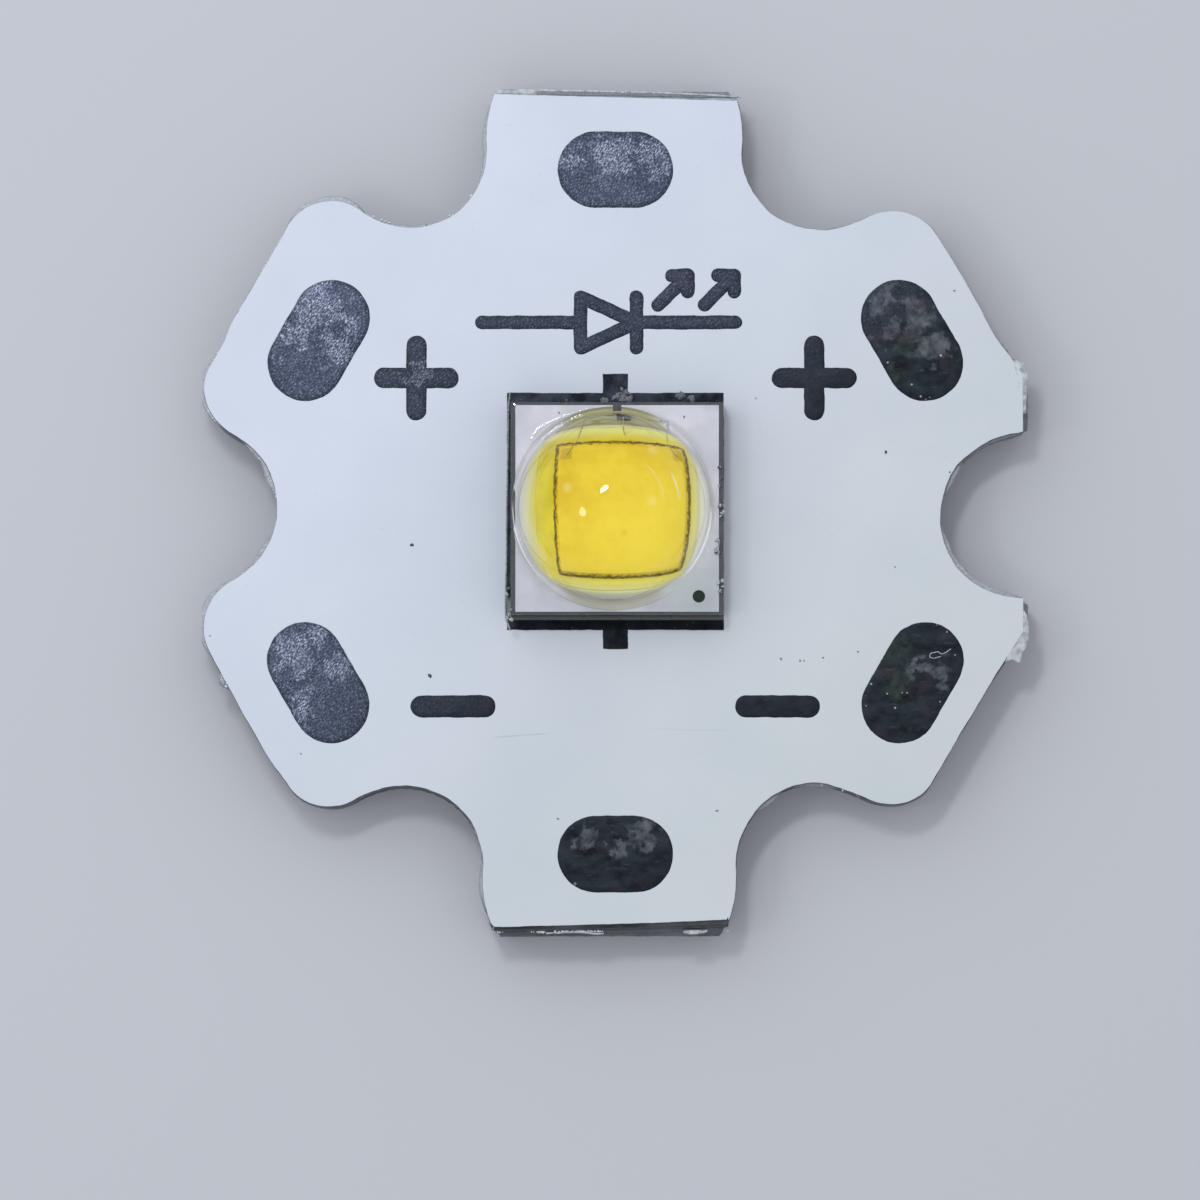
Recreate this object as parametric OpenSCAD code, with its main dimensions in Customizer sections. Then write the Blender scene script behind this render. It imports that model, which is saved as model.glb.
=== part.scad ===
// High-power LED on a star board: a domed ceramic LED package soldered to a
// six-armed metal-core board with screw notches between its arms.
// Millimetres. +Z is up, out of the lens. The origin is the middle of the
// board's underside, the face that goes on a heat sink.
// +Y points to the anode side, where the plus marks are.

/* [Star board] */
// Distance across two opposite arm ends
board_across = 20; // [17:0.1:26]
// Radius of the screw notch between two arms
notch_r = 1.85; // [1.5:0.05:2.1]
// How far the notch centres lie inside the arm ends' distance from the centre
notch_inset = 0.25; // [0:0.05:1]
// Radius of the rounded corners of an arm
corner_r = 1.2; // [0.7:0.05:1.6]
// Radius of the curved sides of the arms that were scored off a strip
side_r = 3; // [2.4:0.1:4]
// How far outside the notch centres the curved sides are widest
side_rise = 0.3; // [0:0.05:0.8]
// How far the right-hand scored line lies inside the arm ends' distance
right_score_inset = 0.25; // [0.1:0.05:0.6]
// Width of the bevel left by the scoring tool
score_bevel = 0.22; // [0.05:0.01:0.4]
// Depth of the scored groove, from each face
score_depth = 0.55; // [0.3:0.05:0.6]
// Turn by which the scored grooves run askew across the upper and lower arms
score_skew = 1; // [0:0.1:1.5]

/* [Board layers] */
// Thickness of the aluminium base
base_t = 1.5; // [1:0.1:2]
// Thickness of the insulating layer on the aluminium
dielectric_t = 0.08; // [0.05:0.01:0.2]
// Thickness of the copper
copper_t = 0.035; // [0.035:0.005:0.105]
// Thickness of the white lacquer over the copper
mask_t = 0.03; // [0.02:0.005:0.06]
// Thickness of the tin on the bare copper, less than the lacquer
tin_t = 0.018; // [0.005:0.001:0.019]
// How far the white lacquer stops short of the routed edge
mask_pullback = 0.14; // [0.13:0.01:0.25]
// How far the lacquer's outline is printed off centre, to the right
mask_shift_x = -0.09; // [-0.09:0.01:0.09]
// How far the lacquer's outline is printed off centre, upwards
mask_shift_y = 0.09; // [-0.09:0.01:0.09]
// How far the copper stops short of the routed edge
copper_pullback = 0.5; // [0.35:0.05:0.7]
// Gap between neighbouring copper areas
copper_gap = 0.3; // [0.2:0.05:0.45]

/* [Wire pads] */
// Length of the wire pads on the upper and lower arms
end_pad_length = 2.72; // [2.1:0.02:3]
// Length of the wire pads on the four side arms
side_pad_length = 3.02; // [2.1:0.02:3.2]
// Width of every wire pad
pad_width = 1.8; // [1:0.02:2]
// Distance from an arm's end to the middle of its wire pad
pad_inset = 1.92; // [1.7:0.02:2.2]

/* [Polarity marks] */
// Length of each stroke of a polarity mark
mark_length = 2; // [1.4:0.1:2.4]
// Width of the strokes of the plus marks
plus_stroke = 0.48; // [0.3:0.02:0.6]
// Width of the stroke of the minus marks
minus_stroke = 0.52; // [0.3:0.02:0.6]
// Sideways distance of the plus marks from the middle
plus_x = 4.69; // [4.3:0.01:5]
// Distance of the plus marks above the middle
plus_y = 3.15; // [3.05:0.01:3.3]
// Sideways distance of the minus marks from the middle
minus_x = 3.82; // [1.5:0.01:5]
// Distance of the minus marks below the middle
minus_y = 4.6; // [3.8:0.05:5]

/* [Diode symbol] */
// Width of the diode symbol
symbol_w = 6.3; // [5:0.1:6.5]
// Height of the diode symbol
symbol_h = 2.03; // [1.8:0.01:2.2]
// Width of the symbol's strokes
symbol_stroke = 0.32; // [0.2:0.01:0.36]
// Sideways place of the symbol
symbol_x = -0.16; // [-0.3:0.02:0.3]
// Distance of the symbol above the middle
symbol_y = 4.72; // [4.6:0.02:4.9]
// Height of the symbol's triangle and of the bar at its tip
triangle_h = 1.2; // [0.9:0.05:1.3]
// Length of the triangle
triangle_l = 1.32; // [1:0.02:1.4]
// Distance from the bar to the foot of the first arrow
arrow_gap = 0.51; // [0.4:0.01:0.6]
// Distance between the two arrows
arrow_pitch = 1.09; // [0.9:0.01:1.2]
// How far each arrow runs, sideways and up
arrow_reach = 0.7; // [0.5:0.02:0.8]
// Length of the two strokes of an arrow's head
arrow_head = 0.38; // [0.3:0.01:0.45]

/* [Opening for the LED] */
// Width of the opening in the lacquer
window_w = 5.1; // [5:0.02:5.4]
// Height of the opening in the lacquer
window_h = 5.59; // [5.2:0.01:5.7]
// Width of the two centring tabs of the opening
tab_w = 0.59; // [0.3:0.01:1]
// How far each tab stands out of the opening
tab_h = 0.45; // [0.1:0.01:0.6]

/* [LED package] */
// Side of the square ceramic
package_w = 5; // [4.7:0.05:5.1]
// Sideways place of the package on the board
package_x = 0.04; // [-0.05:0.01:0.05]
// Place of the package towards the plus side
package_y = 0.02; // [-0.1:0.01:0.1]
// Thickness of the solder under the package
solder_t = 0.05; // [0.03:0.01:0.15]
// Thickness of the contacts under the ceramic
contact_t = 0.03; // [0.02:0.01:0.08]
// Thickness of the ceramic
ceramic_t = 0.78; // [0.4:0.02:1]
// Length of the three contacts
contact_length = 4.7; // [3:0.1:4.9]
// Width of the anode and cathode contacts
contact_w = 0.62; // [0.4:0.02:0.66]
// Distance from the ceramic's edge to the anode and cathode contacts
contact_edge = 0.1; // [0.05:0.01:0.16]
// Width of the thermal contact
thermal_w = 2.7; // [1.5:0.1:2.8]
// Radius of the plugged holes that join top and bottom metal
via_r = 0.07; // [0.04:0.01:0.09]
// Distance between neighbouring plugged holes
via_pitch = 0.8; // [0.4:0.1:1]

/* [Top metal] */
// Thickness of the metal on the ceramic
metal_t = 0.03; // [0.01:0.01:0.05]
// Width of the top metal
metal_w = 4.78; // [4.6:0.01:4.8]
// Height of the top metal
metal_h = 4.86; // [4.7:0.01:4.9]
// Gap between the two areas of top metal
metal_gap = 0.07; // [0.04:0.01:0.1]
// Width of the bonding area
bond_w = 2.3; // [2.3:0.1:2.8]
// Width of the metal left between the bonding area's gap and the small notch
bond_border = 0.21; // [0.1:0.01:0.3]
// Radius of the polarity dot, a round hole in the top metal
dot_r = 0.148; // [0.08:0.01:0.2]
// Distance of the polarity dot from the right edge of the top metal
dot_edge_x = 0.47; // [0.34:0.01:0.6]
// Distance of the polarity dot from the lower edge of the top metal
dot_edge_y = 0.36; // [0.3:0.01:0.5]
// Width of the small notch at the top of the metal
metal_notch_w = 0.2; // [0.1:0.02:0.3]
// Depth of the small notch at the top of the metal
metal_notch_h = 0.16; // [0.08:0.02:0.2]

/* [Chips and wires] */
// Side of the square light-emitting die
die_w = 2.2; // [1.6:0.02:2.24]
// Thickness of the die
die_t = 0.15; // [0.08:0.01:0.25]
// Thickness of the solder under the die
attach_t = 0.02; // [0.01:0.005:0.04]
// Sideways place of the die on the ceramic
die_x = 0.08; // [-0.1:0.02:0.1]
// Place of the die and its phosphor on the ceramic, up from the middle
die_y = -0.05; // [-0.06:0.01:0.02]
// Side of the square patch of phosphor
phosphor_w = 2.84; // [2.6:0.02:2.86]
// Thickness of the phosphor
phosphor_t = 0.05; // [0.03:0.01:0.08]
// Diameter of the gold wires
wire_d = 0.05; // [0.03:0.005:0.08]
// Straight rise of a wire above the chip that it starts on
wire_rise = 0.08; // [0.05:0.01:0.2]
// Distance from the die's edges to the foot of each wire on it
wire_inset = 0.12; // [0.08:0.01:0.2]
// Side of the square protection diode
esd_w = 0.26; // [0.18:0.01:0.3]
// Thickness of the protection diode
esd_t = 0.12; // [0.08:0.01:0.2]
// Sideways place of the protection diode on the ceramic
esd_x = 0.1; // [-0.3:0.02:0.3]

/* [Lens] */
// Radius of the dome
dome_r = 2.2; // [2.1:0.02:2.28]
// Sideways place of the dome on the ceramic
dome_x = -0.1; // [-0.1:0.01:0.1]
// Radius of the low collar round the dome
collar_r = 2.39; // [2.3:0.01:2.4]
// Height of the collar above the ceramic
collar_h = 0.16; // [0.1:0.01:0.25]
// Thickness of the silicone skin beside the dome
skin_t = 0.06; // [0.04:0.01:0.09]

/* [Hidden] */
$fn = 96;
// Room by which cutting shapes pass the faces that they cut
spare = 1;
// By this much neighbouring arcs cross, so that no two only touch
arc_cross = 0.005;
// Number of arms, and of notches between them
arms = 6;
// Turn from one arm to the next, and from an arm to the notch beside it
arm_turn = 360 / arms;
half_turn = arm_turn / 2;
// Turn by which the shapes that round an arm pass the middle of the notch
spare_turn = 2;
// Directions of the six arms, round from +X
arm_upper_right = half_turn;
arm_top = arm_upper_right + arm_turn;
arm_upper_left = arm_top + arm_turn;
arm_lower_left = arm_upper_left + arm_turn;
arm_bottom = arm_lower_left + arm_turn;
arm_lower_right = arm_bottom + arm_turn;
wire_r = wire_d / 2;

// Heights of the layers, from the underside up
base_top = base_t;
dielectric_top = base_top + dielectric_t;
copper_top = dielectric_top + copper_t;
board_top = copper_top + mask_t;
solder_top = copper_top + solder_t;
contact_top = solder_top + contact_t;
ceramic_top = contact_top + ceramic_t;
metal_top = ceramic_top + metal_t;
attach_top = metal_top + attach_t;
die_top = attach_top + die_t;
esd_top = metal_top + esd_t;

// The star's plan
arm_reach = board_across / 2;
notch_reach = arm_reach - notch_inset;
right_reach = arm_reach - right_score_inset;
far = 2 * arm_reach;
// A notch centre seen from the arm beside it: along the arm, then across it
notch_along = notch_reach * cos(half_turn);
notch_across = notch_reach * sin(half_turn);

// Middle of an arc of radius r that runs into the notch, as seen from the arm
function arc_centre(r, along) = [
    along,
    notch_across - sqrt(pow(notch_r + r - arc_cross, 2) - pow(along - notch_along, 2))
];
corner_centre = arc_centre(corner_r, arm_reach - corner_r + arc_cross);
side_centre = arc_centre(side_r, notch_along + side_rise);

pad_reach = arm_reach - pad_inset;
// The LED's contacts lie under the upper and lower edges of the ceramic
contact_y = package_w / 2 - contact_edge - contact_w / 2;
// Copper areas part halfway between the thermal contact and its neighbours
split_y = (thermal_w / 2 + contact_y - contact_w / 2) / 2;

// The bonding area begins just outside the phosphor and its gap, and ends a
// strip of metal short of the small notch
bond_low = phosphor_w / 2 + metal_gap;
bond_high = metal_h / 2 - metal_notch_h - bond_border - metal_gap;
bond_h = bond_high - bond_low;
bond_y = (bond_low + bond_high) / 2;
// The anode plugs stand where the bonding area lies over the anode contact
plug_y = (bond_high + contact_y - contact_w / 2) / 2;
die_wire_y = die_y + die_w / 2 - wire_inset;

// Plan of the star

// What lies outside one side of an arm, in the arm's own frame
module outside_arc(centre, r) {
    difference() {
        polygon([
            centre,
            [far, centre.y],
            far * [cos(half_turn + spare_turn), sin(half_turn + spare_turn)],
            [notch_along, notch_across]
        ]);
        translate(centre) circle(r);
    }
}

// The star, drawn in all round by inset
module star(inset = 0) {
    difference() {
        circle(r = (arm_reach - inset) / cos(half_turn), $fn = arms);
        // A notch in each of the six corners
        for (i = [1 : arms])
            rotate(i * arm_turn) translate([notch_reach, 0]) circle(notch_r + inset);
        // Arms to the upper left and lower left are round on both sides, and
        // those to the right on the side away from the right-hand scored line
        for (up = [0, 1]) mirror([0, up]) {
            rotate(arm_upper_right) outside_arc(corner_centre, corner_r - inset);
            for (side = [0, 1])
                rotate(arm_upper_left) mirror([0, side])
                    outside_arc(corner_centre, corner_r - inset);
            // The upper and lower arms have long curved sides, cut off straight
            for (side = [0, 1])
                rotate(arm_top) mirror([0, side]) outside_arc(side_centre, side_r - inset);
        }
        translate([right_reach, -far]) square(2 * far);
    }
}

module layer(bottom, thickness) {
    translate([0, 0, bottom]) linear_extrude(thickness) children();
}

// Scored grooves

// A wedge that bevels one face of a scored edge lying along +Y at x = 0
module score_wedge(face, into) {
    translate([0, far, face])
        rotate([90, 0, 0])
            linear_extrude(2 * far)
                polygon([
                    [-2 * score_bevel, -into],
                    [score_bevel, 2 * into],
                    [score_bevel, -into]
                ]);
}

// Both faces are scored at the right, upper and lower edges: each entry is the
// edge's direction, its distance from the centre and its turn askew
module scored_edges() {
    edges = [
        [0, right_reach, 0],
        [arm_top, arm_reach, -score_skew],
        [arm_bottom, arm_reach, score_skew]
    ];
    for (edge = edges)
        rotate(edge[0]) translate([edge[1], 0]) rotate(edge[2]) {
            score_wedge(board_top, -score_depth);
            score_wedge(0, score_depth);
        }
}

// Flat shapes on the board

// A straight stroke with round ends, from a to b
module stroke(a, b, w) {
    run = b - a;
    translate(a) rotate(atan2(run.y, run.x)) {
        translate([0, -w / 2]) square([norm(run), w]);
        circle(w / 2);
        translate([norm(run), 0]) circle(w / 2);
    }
}

// A wire pad on the arm at turn: those on the upper and lower arms are shorter
module wire_pad_plan(turn) {
    at_end = turn == arm_top || turn == arm_bottom;
    half = ((at_end ? end_pad_length : side_pad_length) - pad_width) / 2;
    rotate(turn) translate([pad_reach, 0]) stroke([0, -half], [0, half], pad_width);
}

module minus_plan(w) {
    half = (mark_length - w) / 2;
    stroke([-half, 0], [half, 0], w);
}

module plus_plan() {
    minus_plan(plus_stroke);
    rotate(90) minus_plan(plus_stroke);
}

// A circuit diagram's sign for a light-emitting diode, of plain strokes
module symbol_plan() {
    w = symbol_stroke;
    end = (symbol_w - w) / 2;
    high = (symbol_h - w) / 2;
    low = -high;
    mid = low + triangle_h / 2;
    right = triangle_l / 2;
    left = -right;
    translate([symbol_x, symbol_y]) {
        stroke([-end, mid], [left, mid], w);
        stroke([right, mid], [end, mid], w);
        stroke([left, low], [left, low + triangle_h], w);
        stroke([left, low], [right, mid], w);
        stroke([left, low + triangle_h], [right, mid], w);
        stroke([right, low], [right, low + triangle_h], w);
        // Two arrows of light leave it to the upper right
        for (foot = [right + arrow_gap, right + arrow_gap + arrow_pitch]) {
            tip = [foot + arrow_reach, high];
            stroke([foot, high - arrow_reach], tip, w);
            stroke(tip - [arrow_head, 0], tip, w);
            stroke(tip - [0, arrow_head], tip, w);
        }
    }
}

// The opening in the lacquer round the LED, with its two tabs
module window_plan() {
    square([window_w, window_h], center = true);
    square([tab_w, window_h + 2 * tab_h], center = true);
}

module marks_plan() {
    for (side = [-1, 1]) {
        translate([side * plus_x, plus_y]) plus_plan();
        translate([side * minus_x, -minus_y]) minus_plan(minus_stroke);
    }
}

// Every place where the lacquer leaves the metal bare
module bare_plan() {
    for (turn = [arm_upper_right : arm_turn : arm_lower_right]) wire_pad_plan(turn);
    marks_plan();
    symbol_plan();
    window_plan();
}

// Copper areas: which is 1 above the thermal area, 0 for it and -1 below it
module copper_plan(which) {
    edge = split_y + copper_gap / 2;
    intersection() {
        star(copper_pullback);
        if (which == 0)
            square([2 * far, 2 * (split_y - copper_gap / 2)], center = true);
        else
            translate([-far, which > 0 ? edge : -far - edge]) square([2 * far, far]);
    }
}

// Board

module aluminium_base() {
    color([0.72, 0.73, 0.74])
        difference() {
            layer(0, base_t) star();
            scored_edges();
        }
}

module dielectric_layer() {
    color([0.42, 0.44, 0.42])
        difference() {
            layer(base_top, dielectric_t) star();
            scored_edges();
        }
}

module copper_area(which) {
    color([0.72, 0.45, 0.32]) layer(dielectric_top, copper_t) copper_plan(which);
}

module anode_copper() { copper_area(1); }
module thermal_copper() { copper_area(0); }
module cathode_copper() { copper_area(-1); }

// The lacquer fills the gaps in the copper and lies over it
module solder_mask() {
    color([0.86, 0.88, 0.92])
        difference() {
            layer(dielectric_top, copper_t + mask_t)
                translate([mask_shift_x, mask_shift_y]) star(mask_pullback);
            for (which = [-1 : 1]) layer(dielectric_top, copper_t) copper_plan(which);
            layer(dielectric_top, copper_t + mask_t + spare) bare_plan();
            scored_edges();
        }
}

module tin() {
    color([0.29, 0.32, 0.38]) layer(copper_top, tin_t) children();
}

module anode_wire_pad_left() { tin() wire_pad_plan(arm_upper_left); }
module anode_wire_pad_top() { tin() wire_pad_plan(arm_top); }
module anode_wire_pad_right() { tin() wire_pad_plan(arm_upper_right); }
module cathode_wire_pad_left() { tin() wire_pad_plan(arm_lower_left); }
module cathode_wire_pad_bottom() { tin() wire_pad_plan(arm_bottom); }
module cathode_wire_pad_right() { tin() wire_pad_plan(arm_lower_right); }

module plus_mark_left() { tin() translate([-plus_x, plus_y]) plus_plan(); }
module plus_mark_right() { tin() translate([plus_x, plus_y]) plus_plan(); }
module minus_mark_left() { tin() translate([-minus_x, -minus_y]) minus_plan(minus_stroke); }
module minus_mark_right() { tin() translate([minus_x, -minus_y]) minus_plan(minus_stroke); }

module diode_symbol() { tin() symbol_plan(); }

// Joint between board and package

// Solder wets all the bare copper of its area, and stands higher under the
// contact that it carries
module solder_joint(which) {
    color([0.36, 0.39, 0.44]) {
        layer(copper_top, tin_t) intersection() {
            window_plan();
            copper_plan(which);
        }
        layer(copper_top, solder_t) contact_plan(which);
    }
}

module anode_solder() { solder_joint(1); }
module thermal_solder() { solder_joint(0); }
module cathode_solder() { solder_joint(-1); }

// LED package

module on_package() {
    translate([package_x, package_y]) children();
}

module contact_plan(which) {
    on_package()
        translate([0, which * contact_y])
            square([contact_length, which == 0 ? thermal_w : contact_w], center = true);
}

module contact(which) {
    color([0.8, 0.78, 0.7]) layer(solder_top, contact_t) contact_plan(which);
}

module anode_contact() { contact(1); }
module thermal_contact() { contact(0); }
module cathode_contact() { contact(-1); }

module via_plan(y) {
    on_package()
        for (step = [-1 : 1]) translate([step * via_pitch, y]) circle(via_r);
}

module ceramic_substrate() {
    color([0.36, 0.38, 0.4])
        difference() {
            layer(contact_top, ceramic_t) on_package() square(package_w, center = true);
            translate([0, 0, contact_top - spare])
                linear_extrude(ceramic_t + 2 * spare) {
                    via_plan(plug_y);
                    via_plan(-contact_y);
                }
        }
}

module vias(y) {
    color([0.7, 0.6, 0.45]) layer(contact_top, ceramic_t) via_plan(y);
}

module anode_vias() { vias(plug_y); }
module cathode_vias() { vias(-contact_y); }

module bond_plan(grow = 0) {
    on_package()
        translate([0, bond_y])
            square([bond_w + 2 * grow, bond_h + 2 * grow], center = true);
}

module die_pad_metal() {
    color([0.84, 0.84, 0.86])
        layer(ceramic_top, metal_t)
            difference() {
                on_package() square([metal_w, metal_h], center = true);
                bond_plan(metal_gap);
                on_package() {
                    translate([metal_w / 2 - dot_edge_x, dot_edge_y - metal_h / 2])
                        circle(dot_r);
                    translate([-metal_notch_w / 2, metal_h / 2 - metal_notch_h])
                        square([metal_notch_w, metal_notch_h + spare]);
                }
            }
}

module bond_pad_metal() {
    color([0.84, 0.84, 0.86]) layer(ceramic_top, metal_t) bond_plan();
}

// Chips, phosphor and wires

module die_block(bottom, thickness, grow = 0) {
    layer(bottom, thickness)
        on_package() translate([die_x, die_y]) square(die_w + 2 * grow, center = true);
}

module die_attach() {
    color([0.75, 0.66, 0.4]) die_block(metal_top, attach_t);
}

module led_die() {
    color([0.5, 0.52, 0.5]) die_block(attach_top, die_t);
}

module phosphor_layer() {
    color([0.93, 0.81, 0.24])
        difference() {
            union() {
                layer(metal_top, phosphor_t)
                    on_package() translate([0, die_y]) square(phosphor_w, center = true);
                die_block(metal_top, attach_t + die_t + phosphor_t, phosphor_t);
            }
            die_block(metal_top - spare, attach_t + die_t + spare);
            all_wires();
        }
}

// A wire that rises from the chip at from, loops over along Y and comes
// straight down on the metal at y = to
module wire(x, from, to, chip_top) {
    loop_r = abs(to - from) / 2;
    turn_z = chip_top + wire_rise;
    color([0.9, 0.75, 0.4])
        translate([package_x + x, package_y, 0]) {
            translate([0, from, chip_top]) cylinder(r = wire_r, h = wire_rise);
            translate([0, to, metal_top]) cylinder(r = wire_r, h = turn_z - metal_top);
            translate([0, (from + to) / 2, turn_z])
                rotate([90, 0, 90])
                    rotate_extrude(angle = 180) translate([loop_r, 0]) circle(wire_r);
        }
}

module bond_wire_left() {
    wire(die_x - die_w / 2 + wire_inset, die_wire_y, bond_y, die_top);
}

module bond_wire_right() {
    wire(die_x + die_w / 2 - wire_inset, die_wire_y, bond_y, die_top);
}

module esd_diode() {
    color([0.3, 0.3, 0.32])
        layer(metal_top, esd_t)
            on_package() translate([esd_x, bond_y]) square(esd_w, center = true);
}

// Its wire lands between the phosphor's edge and the phosphor on the die
module esd_wire() {
    landing = die_y + (phosphor_w / 2 + die_w / 2 + phosphor_t) / 2;
    wire(esd_x, bond_y, landing, esd_top);
}

module all_wires() {
    bond_wire_left();
    bond_wire_right();
    esd_wire();
}

// One moulding: dome, collar and the skin over the ceramic, cast round all
// that stands on the ceramic
module silicone_lens() {
    color([0.92, 0.94, 0.9, 0.35])
        difference() {
            union() {
                layer(ceramic_top, metal_t + skin_t)
                    on_package() square(package_w, center = true);
                translate([package_x + dome_x, package_y, ceramic_top])
                    rotate_extrude() {
                        square([collar_r - collar_h, collar_h]);
                        intersection() {
                            translate([collar_r - collar_h, 0]) circle(collar_h);
                            square([far, far]);
                        }
                        intersection() {
                            translate([0, metal_t]) circle(dome_r);
                            square([far, far]);
                        }
                    }
            }
            die_pad_metal();
            bond_pad_metal();
            die_attach();
            led_die();
            phosphor_layer();
            esd_diode();
            all_wires();
        }
}

aluminium_base();
dielectric_layer();
anode_copper();
thermal_copper();
cathode_copper();
solder_mask();
anode_wire_pad_left();
anode_wire_pad_top();
anode_wire_pad_right();
cathode_wire_pad_left();
cathode_wire_pad_bottom();
cathode_wire_pad_right();
plus_mark_left();
plus_mark_right();
minus_mark_left();
minus_mark_right();
diode_symbol();
anode_solder();
thermal_solder();
cathode_solder();
anode_contact();
thermal_contact();
cathode_contact();
ceramic_substrate();
anode_vias();
cathode_vias();
die_pad_metal();
bond_pad_metal();
die_attach();
led_die();
phosphor_layer();
bond_wire_left();
bond_wire_right();
esd_diode();
esd_wire();
silicone_lens();
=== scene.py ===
"""Looks of a high-power LED on a six-armed metal-core board.

Shapes are worked out in millimetres in the part's own frame, and each piece is
scaled to metres as it is made.
"""

import math
import random

import bmesh
import bpy
import numpy as np
from mathutils import Matrix, Quaternion, Vector, geometry, noise

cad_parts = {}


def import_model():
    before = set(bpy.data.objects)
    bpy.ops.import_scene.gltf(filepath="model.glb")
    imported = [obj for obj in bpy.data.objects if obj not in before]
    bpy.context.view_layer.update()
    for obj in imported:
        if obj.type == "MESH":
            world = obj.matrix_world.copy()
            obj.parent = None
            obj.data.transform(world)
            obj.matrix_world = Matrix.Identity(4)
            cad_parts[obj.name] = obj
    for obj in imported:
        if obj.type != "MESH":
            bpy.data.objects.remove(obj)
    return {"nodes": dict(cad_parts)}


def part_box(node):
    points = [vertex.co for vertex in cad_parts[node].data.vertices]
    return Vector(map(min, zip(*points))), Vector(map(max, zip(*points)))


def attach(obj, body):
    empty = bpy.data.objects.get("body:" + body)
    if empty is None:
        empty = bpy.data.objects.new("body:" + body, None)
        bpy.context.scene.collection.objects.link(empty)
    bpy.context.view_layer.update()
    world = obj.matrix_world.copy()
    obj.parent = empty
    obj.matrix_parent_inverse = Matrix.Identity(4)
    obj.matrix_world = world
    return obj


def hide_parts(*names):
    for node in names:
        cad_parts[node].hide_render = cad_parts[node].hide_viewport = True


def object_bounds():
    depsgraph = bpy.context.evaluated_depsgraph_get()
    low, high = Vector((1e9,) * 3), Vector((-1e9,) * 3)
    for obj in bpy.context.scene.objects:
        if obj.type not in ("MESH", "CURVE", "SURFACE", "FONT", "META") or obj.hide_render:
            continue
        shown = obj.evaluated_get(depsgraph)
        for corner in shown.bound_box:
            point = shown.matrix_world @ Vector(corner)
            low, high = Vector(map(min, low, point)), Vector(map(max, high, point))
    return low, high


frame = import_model()
cad_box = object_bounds()

MM = 0.001
CAD_LOW, CAD_HIGH = (np.array(corner) / MM for corner in cad_box)

# The photograph: where the board's middle is, in pixels of 1200, and the scale
PICTURE_PX = 1200
MIDDLE_PX = (615.4, 511.4)
PX_PER_MM = 42.45
POLARITY_DOT_PX = (698, 597)
# How much larger the die looks through the dome
DOME_ENLARGES = 1.36
# How far the camera leans from straight above, towards -Y
LEAN = math.radians(3)

# Mesh attributes: a point's distance from its piece's outline, and how much the metal's
# wall bulges out there
RIM = "rim"
LIP = "lip"

# Sizes of the dressed pieces, in millimetres
EDGE_SPACING = 0.06      # between points along an outline
BOARD_EDGE_R = 0.04      # rounding of the aluminium's lower edge
INSULATION_EDGE_R = 0.04  # rounding of the insulation's upper edge
LACQUER_EDGE_R = 0.012   # rounding of the lacquer's edges
SCORE_TOP = 0.55         # depth of the scored grooves from each face
WEB_ROUGH = 0.035        # roughness of the snapped web between the grooves
GROOVE_ROUGH = 0.012     # roughness of the grooves' slopes
WALL_ROUGH = 0.005       # roughness of the milled walls
BOARD_RIM = 0.03         # how far the board's rim lies outside the CAD lacquer's
LACQUER_RIM = 0.015      # the same of the dressed lacquer's rim
DOME_FOOT_R = 2.25       # radius of the dome at its foot
DOME_SEEN = (2.1, 1.9)   # radii between which the view through the dome sets in
COLLAR_R = 2.39          # radius of the lens's collar
COLLAR_H = 0.16          # height of the collar above the ceramic
SKIN_T = 0.06            # silicone skin over the top metal
OPENING_RAGGED = 1.7     # how much more ragged the lacquer's openings are than its rim
TIN_UNDER = 0.021        # how far the tin's skin reaches under the lacquer
PHOSPHOR_T = 0.05        # phosphor on the die and round it
WIRE_R = 0.012           # radius of the gold wires
TINY = 0.002             # step inside a layer, to cut it clear of its faces

# Turn in degrees from which a bend in an outline is a corner
SMALLEST_CORNER = 22


# Frame

def mm_box(node):
    """Lowest and highest corner of a CAD node, in millimetres."""
    return [np.array(corner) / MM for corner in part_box(node)]


def top_of(node):
    return mm_box(node)[1][2]


def in_plan(low, high):
    """Middle of a box and half its size, both in plan."""
    return (low + high)[:2] / 2, (high - low)[:2] / 2


def at(px, py):
    """Place on the board, in millimetres, of a pixel of the photograph."""
    return np.array([(px - MIDDLE_PX[0]) / PX_PER_MM, (MIDDLE_PX[1] - py) / PX_PER_MM])


BASE_TOP = top_of("aluminium_base")
INSULATION_TOP = top_of("dielectric_layer")
COPPER_TOP = top_of("thermal_copper")
TIN_TOP = top_of("anode_wire_pad_top")
BOARD_TOP = top_of("solder_mask")
METAL_TOP = top_of("die_pad_metal")
LENS_TOP = top_of("silicone_lens")
CERAMIC_LOW, CERAMIC_HIGH = mm_box("ceramic_substrate")
CERAMIC_TOP = CERAMIC_HIGH[2]
DIE_LOW, DIE_HIGH = mm_box("led_die")
DIE_MIDDLE, DIE_HALF = in_plan(DIE_LOW, DIE_HIGH)
PHOSPHOR_LOW, PHOSPHOR_HIGH = mm_box("phosphor_layer")
SHEET_MIDDLE, SHEET_HALF = in_plan(PHOSPHOR_LOW, PHOSPHOR_HIGH)
DOME_R = LENS_TOP - METAL_TOP


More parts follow.
